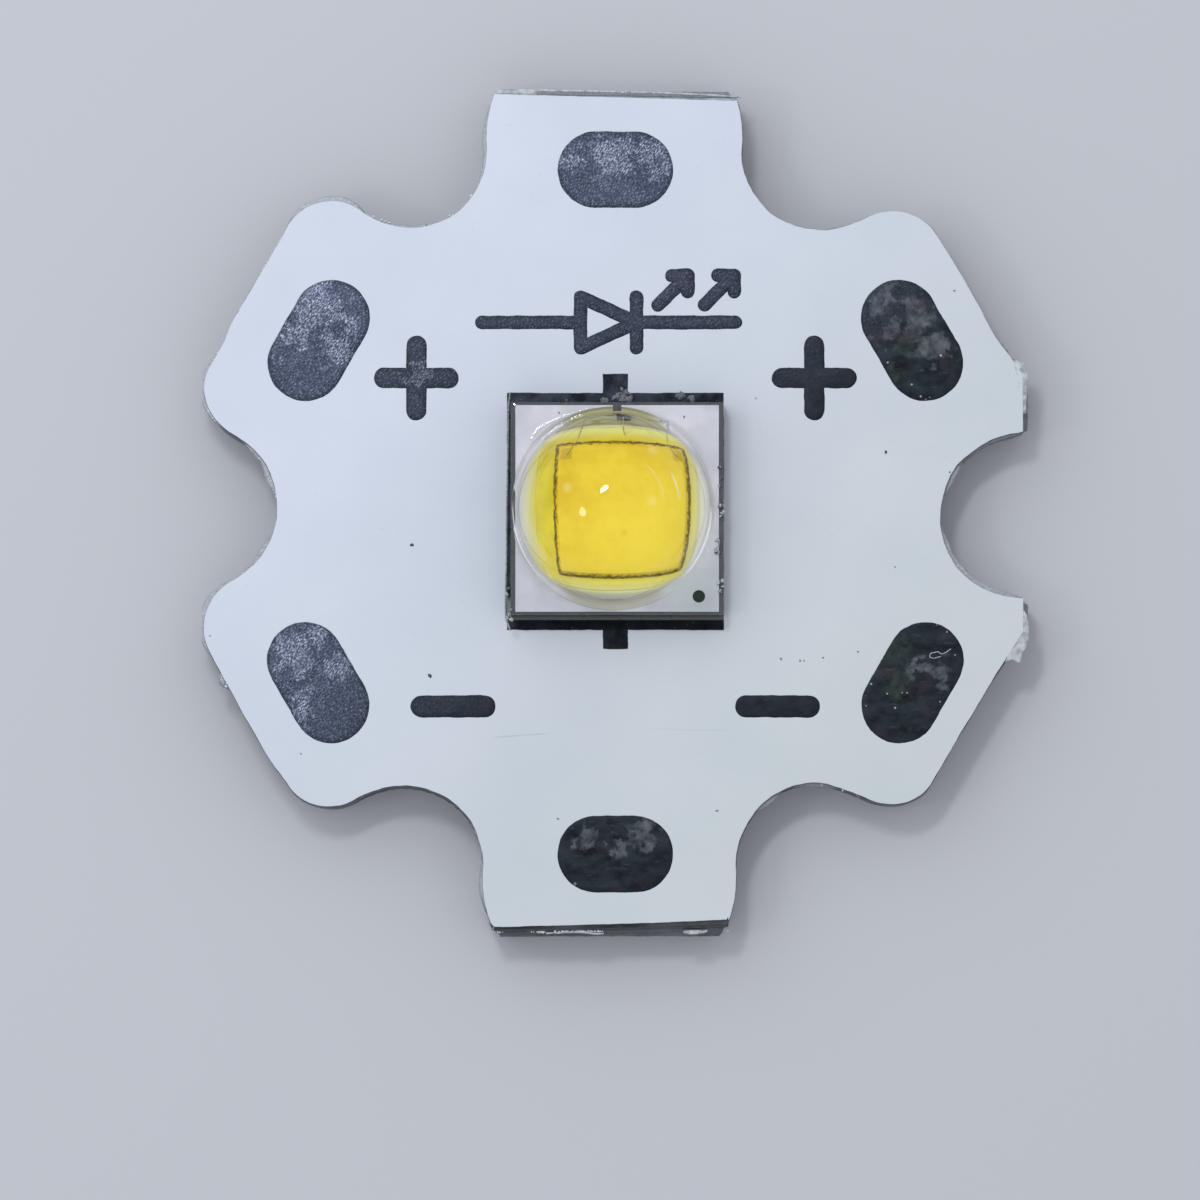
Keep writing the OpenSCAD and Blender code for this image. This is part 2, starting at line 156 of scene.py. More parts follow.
def section(node, z):
    """Loops in which the plane at height z cuts a CAD node, with the solid on their left."""
    mesh = frame["nodes"][node].data
    mesh.calc_loop_triangles()
    spots = np.array([vertex.co for vertex in mesh.vertices]) / MM
    follows, place, least_step = {}, {}, 1e-4
    for triangle in mesh.loop_triangles:
        corners, ends = spots[list(triangle.vertices)], {}
        for p, q in zip(corners, np.roll(corners, -1, 0)):
            if (p[2] > z) != (q[2] > z):
                key = frozenset((tuple(np.round(p, 5)), tuple(np.round(q, 5))))
                place[key] = (p + (q - p) * (z - p[2]) / (q[2] - p[2]))[:2]
                ends["up" if q[2] > z else "down"] = key
        if ends:
            follows[ends["down"]] = ends["up"]
    loops = []
    while follows:
        start, key = follows.popitem()
        loop = [start]
        while key != start:
            loop.append(key)
            key = follows.pop(key)
        points = np.array([place[k] for k in loop])
        step = np.linalg.norm(points - np.roll(points, 1, 0), axis=1)
        loops.append(points[step > least_step])
    return sorted(loops, key=lambda loop: -np.ptp(loop[:, 0]))


DOME_LOOP = section("silicone_lens", METAL_TOP + DOME_R / 2)[0]
DOME_MIDDLE = in_plan(DOME_LOOP.min(0), DOME_LOOP.max(0))[0]


def under_dome(px, py):
    """Place on the die, in millimetres, of a pixel of the photograph within the dome."""
    return DOME_MIDDLE + (at(px, py) - DOME_MIDDLE) / DOME_ENLARGES


# Outlines

def turns(loop):
    """Turn at each point of a loop, in degrees, positive to the left."""
    ahead = np.roll(loop, -1, 0) - loop
    behind = np.roll(ahead, 1, 0)
    cross = behind[:, 0] * ahead[:, 1] - behind[:, 1] * ahead[:, 0]
    return np.degrees(np.arctan2(cross, (behind * ahead).sum(1)))


def straightened(loop):
    """The loop without the points that lie on its straight stretches."""
    least_turn = 0.05
    return loop[abs(turns(loop)) > least_turn]


def smooth_line(points, spacing=None, count=None, closed=False):
    """Even points on a smooth curve through the given ones."""
    longest, steps = 0.15, 6
    if closed:
        points = np.vstack([points, points[:1]])
    parts = [points[:1]]
    for p, q in zip(points[:-1], points[1:]):
        pieces = max(1, math.ceil(np.linalg.norm(q - p) / longest))
        parts.append(p + (q - p) * (np.arange(1, pieces + 1) / pieces)[:, None])
    points = np.vstack(parts)
    length = np.linalg.norm(np.diff(points, axis=0), axis=1)[:, None]

    def padded(values):
        first, last = (values[-1:], values[:1]) if closed else (values[:1], values[-1:])
        return np.vstack([first, values, last])

    slope, span = padded(np.diff(points, axis=0) / length), padded(length)
    tangent = (span[1:] * slope[:-1] + span[:-1] * slope[1:]) / (span[1:] + span[:-1])
    t = (np.arange(steps) / steps)[None, :, None]
    p, q = points[:-1, None], points[1:, None]
    m, n = (tangent[:-1] * length)[:, None], (tangent[1:] * length)[:, None]
    curve = (2 * t**3 - 3 * t**2 + 1) * p + (t**3 - 2 * t**2 + t) * m
    curve = curve + (3 * t**2 - 2 * t**3) * q + (t**3 - t**2) * n
    curve = np.vstack([curve.reshape(-1, 2), points[-1:]])
    along = np.r_[0, np.cumsum(np.linalg.norm(np.diff(curve, axis=0), axis=1))]
    count = count or max(2, round(along[-1] / spacing))
    even = np.linspace(0, along[-1], count + 1)
    return np.column_stack([np.interp(even, along, curve[:, i]) for i in (0, 1)])


def runs_of(loop, convex=SMALLEST_CORNER):
    """The stretches of a loop between its corners, each with both ends."""
    loop = straightened(loop)
    turn = turns(loop)
    corners = np.flatnonzero((turn > convex) | (turn < -SMALLEST_CORNER))
    if not len(corners):
        return []
    loop = np.roll(loop, -corners[0], 0)
    corners = list(corners - corners[0]) + [len(loop)]
    loop = np.vstack([loop, loop[:1]])
    return [loop[a : b + 1] for a, b in zip(corners, corners[1:])]


def fine_loop(loop, convex=60):
    """A loop with even points on its smooth stretches and its corners kept."""
    runs = runs_of(loop, convex)
    if not runs:
        return smooth_line(straightened(loop), EDGE_SPACING, closed=True)[:-1]
    return np.vstack([smooth_line(run, EDGE_SPACING)[:-1] for run in runs])


def outward(loop):
    """For each point, the step that moves both lines beside it out by one."""
    sharpest = 0.4
    ahead = np.roll(loop, -1, 0) - loop
    ahead /= np.linalg.norm(ahead, axis=1)[:, None]
    normal = np.column_stack([ahead[:, 1], -ahead[:, 0]])
    behind = np.roll(normal, 1, 0)
    return (normal + behind) / np.maximum(1 + (normal * behind).sum(1), sharpest)[:, None]


def rough(points, size, seed):
    """Smooth noise from -1 to 1 at each point, with lumps about size across."""
    points = np.pad(np.asarray(points) / size, ((0, 0), (0, 3 - len(points[0]))))
    return np.array([noise.noise(Vector(p + seed * 1.37)) for p in points])


def swell(p, size, level):
    """Smooth noise from -1 to 1 at a place on the board, in waves about size across."""
    return noise.noise(Vector((p[0] / size, p[1] / size, level)))


# Meshes

def placed(name, data):
    """A new object of the scene."""
    made = bpy.data.objects.new(name, data)
    bpy.context.scene.collection.objects.link(made)
    return made


def piece(name, points, faces, material, smooth=True, slot=None, replaces=()):
    """A new piece that rides on the part, from points in millimetres."""
    mesh = bpy.data.meshes.new(name)
    mesh.from_pydata([tuple(p) for p in np.asarray(points, float) * MM], [], faces)
    mesh.polygons.foreach_set("use_smooth", np.broadcast_to(smooth, len(faces)).tolist())
    mesh.validate()
    mesh.update()
    made = placed(name, mesh)
    mesh.materials.append(material)
    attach(made, "root")
    if replaces:
        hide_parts(*replaces)
    return made


def points_of(made):
    return np.array([vertex.co for vertex in made.data.vertices]) / MM


def marked(made, name, amounts):
    """The piece with an amount at each of its points, for its material to read."""
    values = made.data.attributes.new(name, "FLOAT", "POINT").data
    values.foreach_set("value", np.array(amounts, np.float32))
    return made


def inside(points, loops):
    """Whether each point lies within an odd number of the loops."""
    x, y = points[:, 0, None], points[:, 1, None]
    within = np.zeros(len(points), bool)
    for loop in loops:
        start, end = loop, np.roll(loop, -1, 0)
        spans = (start[:, 1] > y) != (end[:, 1] > y)
        with np.errstate(divide="ignore", invalid="ignore"):
            share = (y - start[:, 1]) / (end[:, 1] - start[:, 1])
            before = x < start[:, 0] + share * (end[:, 0] - start[:, 0])
        within ^= (spans & before).sum(1) % 2 == 1
    return within


def fill(loops, inner=()):
    """Triangles that fill loops drawn with the inside on their left, and their points."""
    filled, tolerance = 2, 1e-6
    points = [Vector(p) for loop in loops for p in loop] + [Vector(p) for p in inner]
    edges, start = [], 0
    for loop in loops:
        count = len(loop)
        edges += [(start + i, start + (i + 1) % count) for i in range(count)]
        start += count
    found, _, faces, origin, *_ = geometry.delaunay_2d_cdt(points, edges, [], filled,
                                                                tolerance)
    index = []
    for point, sources in zip(found, origin):
        index.append(sources[0] if sources else len(points))
        if not sources:
            points.append(point)
    middles = np.array([sum((found[i] for i in face), Vector((0, 0))) / 3 for face in faces])
    kept = []
    for face, wanted in zip(faces, inside(middles, loops)):
        a, b, c = (found[i] for i in face)
        left = (b - a).cross(c - a) > 0
        if wanted:
            kept.append([index[i] for i in (face if left else reversed(face))])
    return np.array([tuple(p) for p in points]), kept


def walls(start, levels, count):
    """Faces between rings of count points each, numbered from start, the lowest first."""
    rows = [start + level * count for level in range(levels - 1)]
    return [(row + i, row + (i + 1) % count, row + (i + 1) % count + count, row + i + count)
            for row in rows for i in range(count)]


def layered(name, stacks, material, inner=(), height=None, smooth_top=False, **options):
    """A closed solid from stacks of rings, one stack for each of its loops.

    Each ring is an array of points, the lowest first. The last rings are joined
    by a top face, through the inner points if there are any, whose height is
    given by a function, and the first rings by a flat face below.
    """
    points, faces, tops, feet = [], [], [], []
    for rings in stacks:
        start, count = len(points), len(rings[0])
        faces += walls(start, len(rings), count)
        points.extend(np.vstack(rings))
        tops.append(np.arange(len(points) - count, len(points)))
        feet.append(np.arange(start, start + count))
    sides = len(faces)
    for rows, below in ((tops, False), (feet, True)):
        loops = [np.array([points[i][:2] for i in row]) for row in rows]
        flat, cap = fill(loops, () if below else inner)
        index = list(np.concatenate(rows))
        for p in flat[len(index):]:
            z = height(p) if height and not below else points[rows[0][0]][2]
            index.append(len(points))
            points.append(np.array([*p, z]))
        faces += [[index[i] for i in face][:: -1 if below else 1] for face in cap]
    smooth = [True] * sides + [bool(height) or smooth_top] * (len(faces) - sides)
    return piece(name, points, faces, material, smooth=smooth, **options)


def ring(loop, z, inset=0.0):
    """A loop's points at height z, moved in by inset, one amount or one each."""
    step = outward(loop) * np.reshape(inset, (-1, 1))
    return np.column_stack([loop - step, np.broadcast_to(z, len(loop))])


def quarter(radius, *degrees):
    """Points on a rounded edge: how far below its top and in from its wall each is."""
    return [(radius * (1 - math.sin(a)), radius * (1 - math.cos(a))) for a in np.radians(degrees)]


def tube(name, path, radius, material, sides=12, **options):
    """A round wire along a path of points, closed at its ends."""
    tangent = np.gradient(path, axis=0)
    tangent /= np.linalg.norm(tangent, axis=1)[:, None]
    side = np.cross(tangent[0], [0.3, 0.5, 0.8])
    angles = 2 * math.pi * np.arange(sides)[:, None] / sides
    points = []
    for p, t in zip(path, tangent):
        side = side - t * (side @ t)
        side /= np.linalg.norm(side)
        points.extend(p + radius * (np.cos(angles) * side + np.sin(angles) * np.cross(t, side)))
    ends = [tuple(range(sides))[::-1], tuple(range(len(points) - sides, len(points)))]
    return piece(name, points, walls(0, len(path), sides) + ends, material, **options)


def lumps(name, spots, material, **options):
    """Small uneven grains in one piece: each spot is a point, a size and a flatness."""
    uneven, pitch, turn_step, narrow = 0.45, 1.7, 2.4, 0.7
    points, faces = [], []
    for number, (spot, size, flat) in enumerate(spots):
        grain = bmesh.new()
        bmesh.ops.create_icosphere(grain, subdivisions=2, radius=1)
        turn = Matrix.Rotation(number * turn_step, 3, "Z")
        start = len(points)
        for vertex in grain.verts:
            bump = noise.noise(vertex.co * pitch + Vector((number, 0, 0)))
            co = vertex.co * (1 + uneven * bump)
            co = turn @ Vector((co.x * size, co.y * size * narrow, co.z * size * flat))
            points.append(np.array(spot) + np.array(co))
        faces += [[start + v.index for v in face.verts] for face in grain.faces]
        grain.free()
    return piece(name, points, faces, material, **options)


# Materials

def shade(red, green, blue):
    """A colour given as on a screen, from 0 to 255."""
    def linear(value):
        value /= 255
        return value / 12.92 if value <= 0.04045 else ((value + 0.055) / 1.055) ** 2.4
    return (linear(red), linear(green), linear(blue), 1)


def node(tree, kind, inputs=(), output=0, **settings):
    """The output of a new shader node, its settings made and its inputs set or linked."""
    made = tree.nodes.new("ShaderNode" + kind)
    for name, value in settings.items():
        setattr(made, name, value)
    for name, value in dict(inputs).items():
        if isinstance(value, Value):
            tree.links.new(value.socket, made.inputs[name])
        else:
            made.inputs[name].default_value = value
    return Value(tree, made.outputs[output])


class Value:
    """A number, colour or direction that shader nodes work out."""

    def __init__(self, tree, socket):
        self.tree, self.socket = tree, socket

    def math(self, operation, other=0.0):
        return node(self.tree, "Math", {0: self, 1: other}, operation=operation)

    def __add__(self, other):
        return self.math("ADD", other)

    def __sub__(self, other):
        return self.math("SUBTRACT", other)

    def __rsub__(self, other):
        return node(self.tree, "Math", {0: other, 1: self}, operation="SUBTRACT")

    def __mul__(self, other):
        return self.math("MULTIPLY", other)

    def __abs__(self):
        return self.math("ABSOLUTE")

    def vector(self, operation, other=(0, 0, 0), output=0):
        """The value as a vector, worked on with another vector or a scale."""
        second = "Scale" if operation == "SCALE" else 1
        return node(self.tree, "VectorMath", {0: self, second: other}, output,
                    operation=operation)

    def axis(self, name):
        return node(self.tree, "SeparateXYZ", {"Vector": self}, name)

    def between(self, low, high, out_low=0.0, out_high=1.0):
        """Carried smoothly from one range to another, and held at its ends."""
        return node(self.tree, "MapRange", {
            "Value": self, "From Min": low, "From Max": high, "To Min": out_low,
            "To Max": out_high}, interpolation_type="SMOOTHSTEP")

    def ramp(self, *stops):
        """A colour, from stops of a position and a screen colour."""
        made = node(self.tree, "ValToRGB", {"Fac": self})
        elements = made.socket.node.color_ramp.elements
        while len(elements) < len(stops):
            elements.new(0.5)
        for element, (position, *colour) in zip(elements, stops):
            element.position, element.color = position, shade(*colour)
        return made

    def mix(self, share, over, blend="MIX"):
        """This colour with a share of another over it."""
        return mixed(self.tree, share, self, over, blend)


def mixed(tree, share, below, over, blend="MIX"):
    """A colour with a share of another over it, each a value or a screen colour."""
    below, over = (shade(*c) if isinstance(c, tuple) else c for c in (below, over))
    return node(tree, "Mix", {0: share, 6: below, 7: over}, 2, data_type="RGBA",
                blend_type=blend)


class Look:
    """A material in the making: one Principled shader, and the nodes that feed it."""

    def __init__(self, name, **sockets):
        self.material = bpy.data.materials.new(name)
        self.material.use_nodes = True
        self.tree = self.material.node_tree
        self.shader = self.tree.nodes["Principled BSDF"]
        self.set(**sockets)

    def set(self, **sockets):
        """Sockets of the shader, each set to a constant or linked to a value."""
        for name, value in sockets.items():
            socket = self.shader.inputs[name.replace("_", " ")]
            if isinstance(value, Value):
                self.tree.links.new(value.socket, socket)
            else:
                socket.default_value = value

    def done(self, colour, rub, *bumps, **sockets):
        """The material, given its colour, its roughness and bumps with their depths."""
        normal = {}
        for height, depth in bumps:
            normal = {"Normal": node(self.tree, "Bump", {
                "Height": height, "Distance": depth * MM, "Strength": 1.0, **normal})}
        self.set(Base_Color=colour, Roughness=rub, **normal, **sockets)
        return self.material

    def places(self, stretch=(1, 1, 1), turn=0.0, origin=(0, 0, 0)):
        """Object coordinates in millimetres, turned about Z and stretched."""
        spot = node(self.tree, "TexCoord", output="Object")
        spot = spot.vector("SCALE", 1 / MM).vector("SUBTRACT", origin)
        if turn:
            spot = node(self.tree, "VectorRotate", {"Vector": spot, "Angle": turn},
                        rotation_type="Z_AXIS")
        return spot.vector("MULTIPLY", stretch)

    def grain(self, size, detail=3.0, roughness=0.5, **where):
        """Noise with lumps about size millimetres across."""
        return node(self.tree, "TexNoise", {
            "Vector": self.places(**where), "Scale": 1 / size, "Detail": detail,
            "Roughness": roughness})

    def far(self, flat, z=None):
        """Distance from a point, or from the upright line through it if it has no height."""
        spot = self.places(origin=(*flat, z or 0), stretch=(1, 1, 0 if z is None else 1))
        return spot.vector("LENGTH", output="Value")

    def outside(self, middle, half):
        """Distance outside an upright rectangle, negative inside."""
        spot = self.places(origin=(*middle, 0))
        far_x, far_y = (abs(spot.axis(name)) - size for name, size in zip("XY", half))
        return far_x.math("MAXIMUM", far_y)

    def light_side(self, dull, bright):
        """Share that grows along the diagonal to the upper left, the side of the light."""
        spot = self.places()
        return (spot.axis("Y") - spot.axis("X")).between(dull, bright)

    def arc(self, radius, width, middle, half):
        """Share of an arc round the dome's axis: its radius and half its width, its middle
        and half its length in degrees."""
        aim = self.places(origin=(*DOME_MIDDLE, 0), stretch=(1, 1, 0)).vector("NORMALIZE")
        angle = math.radians(middle)
        aim = aim.vector("DOT_PRODUCT", (math.cos(angle), math.sin(angle), 0), "Value")
        ends = aim.between(math.cos(math.radians(half)), math.cos(math.radians(half / 3)))
        return abs(self.far(DOME_MIDDLE) - radius).between(width, width / 3) * ends

    def facing(self):
        return node(self.tree, "NewGeometry", output="Normal")

    def facing_light(self):
        """Share of a wall that looks up the board or a little to the left."""
        aim = self.facing().vector("DOT_PRODUCT", (-0.5, 0.87, 0.0), "Value")
        return aim.between(0.05, 0.6)

    def mark(self, name):
        return node(self.tree, "Attribute", output="Fac", attribute_name=name)

    def zoned(self, zones, soft):
        """Share that is one in the middle of each zone and nothing outside, with soft borders."""
        cloud = self.grain(0.3, origin=(4, 9, 0))
        ragged = cloud.between(0.25, 0.75, soft, -soft)
        share = 0.0
        for px, py, radius in zones:
            size = radius / PX_PER_MM
            zone = (self.far(at(px, py)) + ragged).between(size, 0.35 * size)
            share = zone.math("MAXIMUM", share)
        return share


def lacquer_material():
    look = Look("lacquer", IOR=1.5)
    cloud = look.grain(3.5)
    # Painted light: the lacquer is brighter and bluer towards the upper left, the side of the light
    colour = cloud.ramp((0.3, 198, 206, 208), (0.7, 205, 212, 213)).mix(
        look.light_side(-12.0, 10.0), cloud.ramp((0.3, 206, 213, 225), (0.7, 213, 219, 231)))
    speck = look.grain(0.09, detail=1).between(0.72, 0.8)
    colour = colour.mix(speck * 0.25, (176, 182, 194))
    # Two faint scratches below the LED
    for start, end, strength in (((487, 738), (556, 733), 0.35), ((640, 729), (742, 731), 0.15)):
        a, b = at(*start), at(*end)
        run, length = b - a, np.linalg.norm(b - a)
        spot = look.places(origin=(*((a + b) / 2), 0), turn=-math.atan2(run[1], run[0]))
        across, along = abs(spot.axis("Y")), abs(spot.axis("X"))
        line = across.between(0.03, 0.0) * along.between(length / 2, length / 4)
        colour = colour.mix(line * strength, (150, 156, 172))
    rub = look.grain(1.6, detail=4, roughness=0.6).between(0.3, 0.75, 0.34, 0.5)
    return look.done(colour, rub, (look.grain(0.3, detail=2), 0.004),
                     (look.grain(0.06, detail=2), 0.0008))


# Zones of the wire pads, each by the pixel of its middle and its size in pixels: bright
# grains, which are painted glints, pale blotches, green ones and white flecks
GRAINY = ((310, 300, 32), (338, 312, 18), (296, 338, 20), (332, 345, 20), (612, 152, 30),
          (574, 158, 22), (654, 152, 26), (296, 652, 26), (318, 640, 16), (336, 668, 18),
          (304, 706, 18), (416, 376, 12))
BLOTCHED = ((884, 303, 15), (912, 300, 20), (918, 322, 22), (896, 324, 14), (928, 346, 20),
            (874, 294, 14), (906, 284, 14), (942, 352, 14), (884, 336, 12),
            (642, 836, 18), (590, 838, 16), (612, 846, 12), (940, 672, 16), (914, 664, 10))
GREENISH = ((896, 652, 24), (906, 345, 16), (892, 372, 16), (898, 690, 18))
FLECKED = ((921, 396, 1.6), (926, 399, 1.3), (930, 397, 1.2), (941, 355, 1.6), (888, 362, 1.4),
           (575, 884, 2.2), (937, 625, 1.4), (947, 632, 1.6), (955, 655, 1.5), (887, 694, 1.2),
           (902, 693, 1.3), (907, 693, 1.2), (895, 708, 1.2), (866, 706, 1.4), (871, 684, 1.4),
           (940, 702, 1.3), (912, 384, 1.2))


def tin_material(name, dimness):
    """Dull tin with painted reflection: a slate tone with slanting bright grains, painted glints,
    to the upper left, and darker to the lower right, where its own tarnish blotches show.
    """
    look = Look(name, Metallic=0.6, IOR=1.5)
    fine = look.grain(0.034, detail=4, roughness=0.7, turn=math.radians(-50),
                      stretch=(0.5, 1.2, 1))
    streak = look.grain(0.09, stretch=(0.25, 1, 1))
    blotch = look.grain(0.2, detail=4, roughness=0.6)
    bright = fine.ramp((0.35, 38, 46, 66), (0.48, 90, 100, 126), (0.57, 168, 176, 202),
                       (0.65, 240, 244, 252))
    slate = fine.ramp((0.37, 42, 50, 68), (0.56, 92, 101, 126), (0.67, 172, 179, 202))
    bright = slate.mix(look.zoned(GRAINY, 0.35), bright)
    dark = look.grain(0.28, detail=5, roughness=0.6, stretch=(0.6, 1, 1)).ramp(
        (0.35, 14, 24, 32), (0.65, 46, 58, 66))
    pale = blotch.ramp((0.35, 62, 70, 78), (0.65, 114, 120, 124))
    green = blotch.ramp((0.35, 36, 48, 46), (0.65, 64, 80, 72))
    dark = dark.mix(look.zoned(BLOTCHED, 0.3) * 0.85, pale)
    dark = dark.mix(look.zoned(GREENISH, 0.25) * 0.7, green)
    hue = look.grain(0.5, detail=2, origin=(7, 3, 0))
    dark = dark.mix(hue.between(0.46, 0.32, 0.0, 0.4), (66, 54, 64))
    dark = dark.mix(streak.between(0.62, 0.72, 0.0, 0.35), (84, 92, 98))
    dark = dark.mix(look.zoned(FLECKED, 0.01), (190, 196, 196))
    # Painted shade along the pad's edge below the lacquer's wall, then painted reflection: brighter
    # towards the upper left
    rim = look.mark(RIM).between(0.13, 0.03) * 0.6 * fine.between(0.62, 0.5)
    colour = dark.mix(look.light_side(-3.5, 3.5), bright).mix(rim, (38, 46, 56))
    rub = look.grain(0.9).between(0.3, 0.7, 0.4, 0.55)
    return look.done(colour.mix(dimness, (34, 42, 52)), rub,
                     (look.grain(0.16, detail=2), 0.006), (fine, 0.004))


def solder_material():
    look = Look("solder", Metallic=0.7, IOR=1.5)
    patch = look.grain(0.35)
    # Painted shade: the near-black tone stands for the shade in the gap round the package; painted
    # light: brighter towards the upper left, with painted glints
    colour = patch.ramp((0.35, 14, 20, 25), (0.65, 34, 43, 48)).mix(
        look.light_side(-3.0, 3.0), patch.ramp((0.35, 30, 36, 46), (0.65, 62, 70, 84)))
    spark = look.grain(0.05, detail=2).between(0.7, 0.76)
    # Flux has dried grey along the ceramic's lower side
    up = look.places(origin=(0, CERAMIC_LOW[1], 0)).axis("Y")
    dried = up.between(-0.09, -0.07) * up.between(0.5, 0.3)
    colour = colour.mix(spark, (120, 126, 136)).mix(dried, (140, 146, 140))
    return look.done(colour, patch.between(0.3, 0.7, 0.25, 0.45),
                     (look.grain(0.12, detail=2), 0.005))


def aluminium_material():
    """Bare aluminium: rolled streaks on its faces and cutter marks down its walls."""
    look = Look("aluminium")
    flat = abs(look.facing().axis("Z")).between(0.75, 0.95)
    rolled = look.grain(0.12, detail=4, roughness=0.65, stretch=(0.05, 1, 1))
    cut = look.grain(0.05, stretch=(1, 1, 0.12))
    streak = cut.mix(flat, rolled)
    # Painted shade: walls turned away from the light are darker
    shaded_walls = (1.0 - flat) * (1.0 - look.facing_light())
    lip = look.mark(LIP)
    stain = look.grain(2.5, detail=4).between(0.55, 0.75)
    colour = streak.ramp((0.3, 150, 155, 162), (0.7, 196, 200, 206))
    colour = colour.mix(shaded_walls * 0.8, (50, 56, 60))
    colour = colour.mix(lip, cut.ramp((0.35, 164, 168, 174), (0.65, 190, 194, 200)))
    colour = colour.mix(stain * 0.35, (140, 143, 148))
    rub = look.grain(0.8, detail=4).between(0.3, 0.7, 0.3, 0.5)
    return look.done(colour, rub, (streak, 0.012), Metallic=1.0 - lip * 0.8)


def insulation_material():
    """Filled epoxy painted dark as shadow, with painted light: a pale metal smear only on the walls
    that face the light.
    """
    look = Look("insulation")
    cloud = look.grain(0.5)
    # Painted light: the pale smear shows only on walls facing the light
    lit_smear = look.grain(0.4).between(0.3, 0.5, 0.45, 1.0) * look.facing_light()
    colour = cloud.ramp((0.35, 38, 43, 44), (0.65, 70, 76, 78)).mix(
        lit_smear, cloud.ramp((0.35, 172, 178, 190), (0.65, 206, 211, 222)))
    return look.done(colour, cloud.between(0.3, 0.7, 0.35, 0.6),
                     (look.grain(0.08), 0.008), Metallic=lit_smear * 0.3)


def collar_painted_shade(look, colour):
    """Painted light and shade that the collar and the dome's foot throw on the metal below: an
    olive tint above the die, grey shade below it, and dark lines where they bend the light."""
    spot = look.places(origin=(*DOME_MIDDLE, 0))
    collar = look.far(DOME_MIDDLE).between(COLLAR_R, 2.35) * abs(spot.axis("X")).between(1.35, 0.8)
    for low, high, tint in ((1.3, 1.75, (173, 169, 106)), (-1.3, -1.8, (196, 192, 178))):
        colour = colour.mix(collar * spot.axis("Y").between(low, high, 0.0, 0.85), tint)
    for *where, strength in ((2.36, 0.04, 97, 36, 0.55), (2.37, 0.035, 270, 44, 0.45),
                             (2.2, 0.03, 262, 44, 0.3), (2.3, 0.07, 14, 30, 0.4)):
        colour = colour.mix(look.arc(*where) * strength, (104, 106, 84))
    return colour


def ceramic_material():
    look = Look("ceramic", IOR=1.6, Specular_IOR_Level=0.2)
    fine = look.grain(0.04, roughness=0.6)
    colour = fine.ramp((0.3, 70, 74, 78), (0.7, 98, 102, 106))
    stain = look.grain(0.6).between(0.55, 0.7)
    colour = colour.mix(stain * 0.4, (60, 64, 60))
    # Painted shade: the lower wall, turned away from the light, is darker
    colour = colour.mix(look.facing().axis("Y").between(-0.3, -0.9, 0.0, 0.45), (38, 40, 34))
    dot = look.outside(at(*POLARITY_DOT_PX), (0.25, 0.25)).between(0.05, 0.0)
    middle, half = in_plan(*mm_box("bond_pad_metal"))
    gap = look.outside(middle, half + 0.1).between(0.05, 0.0)
    gap = gap * look.places().axis("Z").between(CERAMIC_TOP - 0.05, CERAMIC_TOP)
    within = look.far(DOME_MIDDLE).between(*DOME_SEEN)
    gap_colour = mixed(look.tree, within, (206, 206, 216), (160, 158, 118))
    colour = colour.mix(dot, (12, 32, 29)).mix(gap, collar_painted_shade(look, gap_colour))
    return look.done(colour, fine.between(0.3, 0.7, 0.45, 0.65), (fine, 0.003),
                     (look.grain(0.02, detail=2, stretch=(1, 1, 0.1)), 0.001))


def silver_material(name, inner_light, inner_dark):
    """Satin top metal, with a painted yellow glow of the phosphor near the die, more to its left.

    Within the dome's reach it has the two inner colours.
    """
    look = Look(name, Metallic=0.2, IOR=1.5)
    fine = look.grain(0.05, roughness=0.6)
    cloud = look.grain(0.8)
    in_dome = look.far(DOME_MIDDLE)
    half = SHEET_HALF
    spot = look.places(origin=(*SHEET_MIDDLE, 0))
    x, y = spot.axis("X"), spot.axis("Y")
    colour = cloud.ramp((0.35, 211, 211, 221), (0.65, 230, 229, 238)).mix(
        in_dome.between(*DOME_SEEN), cloud.ramp((0.35, *inner_dark), (0.65, *inner_light)))
    colour = collar_painted_shade(look, colour).mix(fine.between(0.6, 0.75) * 0.3, (180, 180, 188))
    # A greenish cast round the polarity dot
    cast = look.far(at(*POLARITY_DOT_PX), METAL_TOP).between(1.1, 0.2, 0.0, 0.5)
    colour = colour.mix(cast, (190, 206, 202))
    # Painted shade: darker towards the lower end of the package, and below the die within the dome
    colour = colour.mix(y.between(1.5, -2.4), (238, 240, 240), "MULTIPLY")
    below = y.between(-half[1], -half[1] - 0.1) * in_dome.between(*DOME_SEEN, 0.0, 0.7)
    colour = colour.mix(below, (160, 156, 140))
    # Light gathered by the dome to the right of the die
    gathered = x.between(half[0], half[0] + 0.1) * in_dome.between(*DOME_SEEN, 0.0, 0.7)
    colour = colour.mix(gathered, (250, 250, 238))
    # Painted light: a yellow glow of the phosphor on the metal round the sheet
    dust_and_glow = look.outside(SHEET_MIDDLE, half).between(0.2, -0.02) * fine.between(0.3, 0.6, 0.4, 0.8)
    colour = colour.mix(dust_and_glow, (226, 222, 110))
    # Painted light: the yellow glow of the phosphor on the metal to the left of the die
    veil = x.between(-half[0] - 0.55, -half[0] - 0.05)
    veil = veil * abs(y).between(half[1] + 0.1, half[1] - 0.2) * x.between(0.0, -0.5)
    return look.done(colour.mix(veil, (236, 228, 96)), fine.between(0.3, 0.7, 0.4, 0.55),
                     (fine, 0.002))


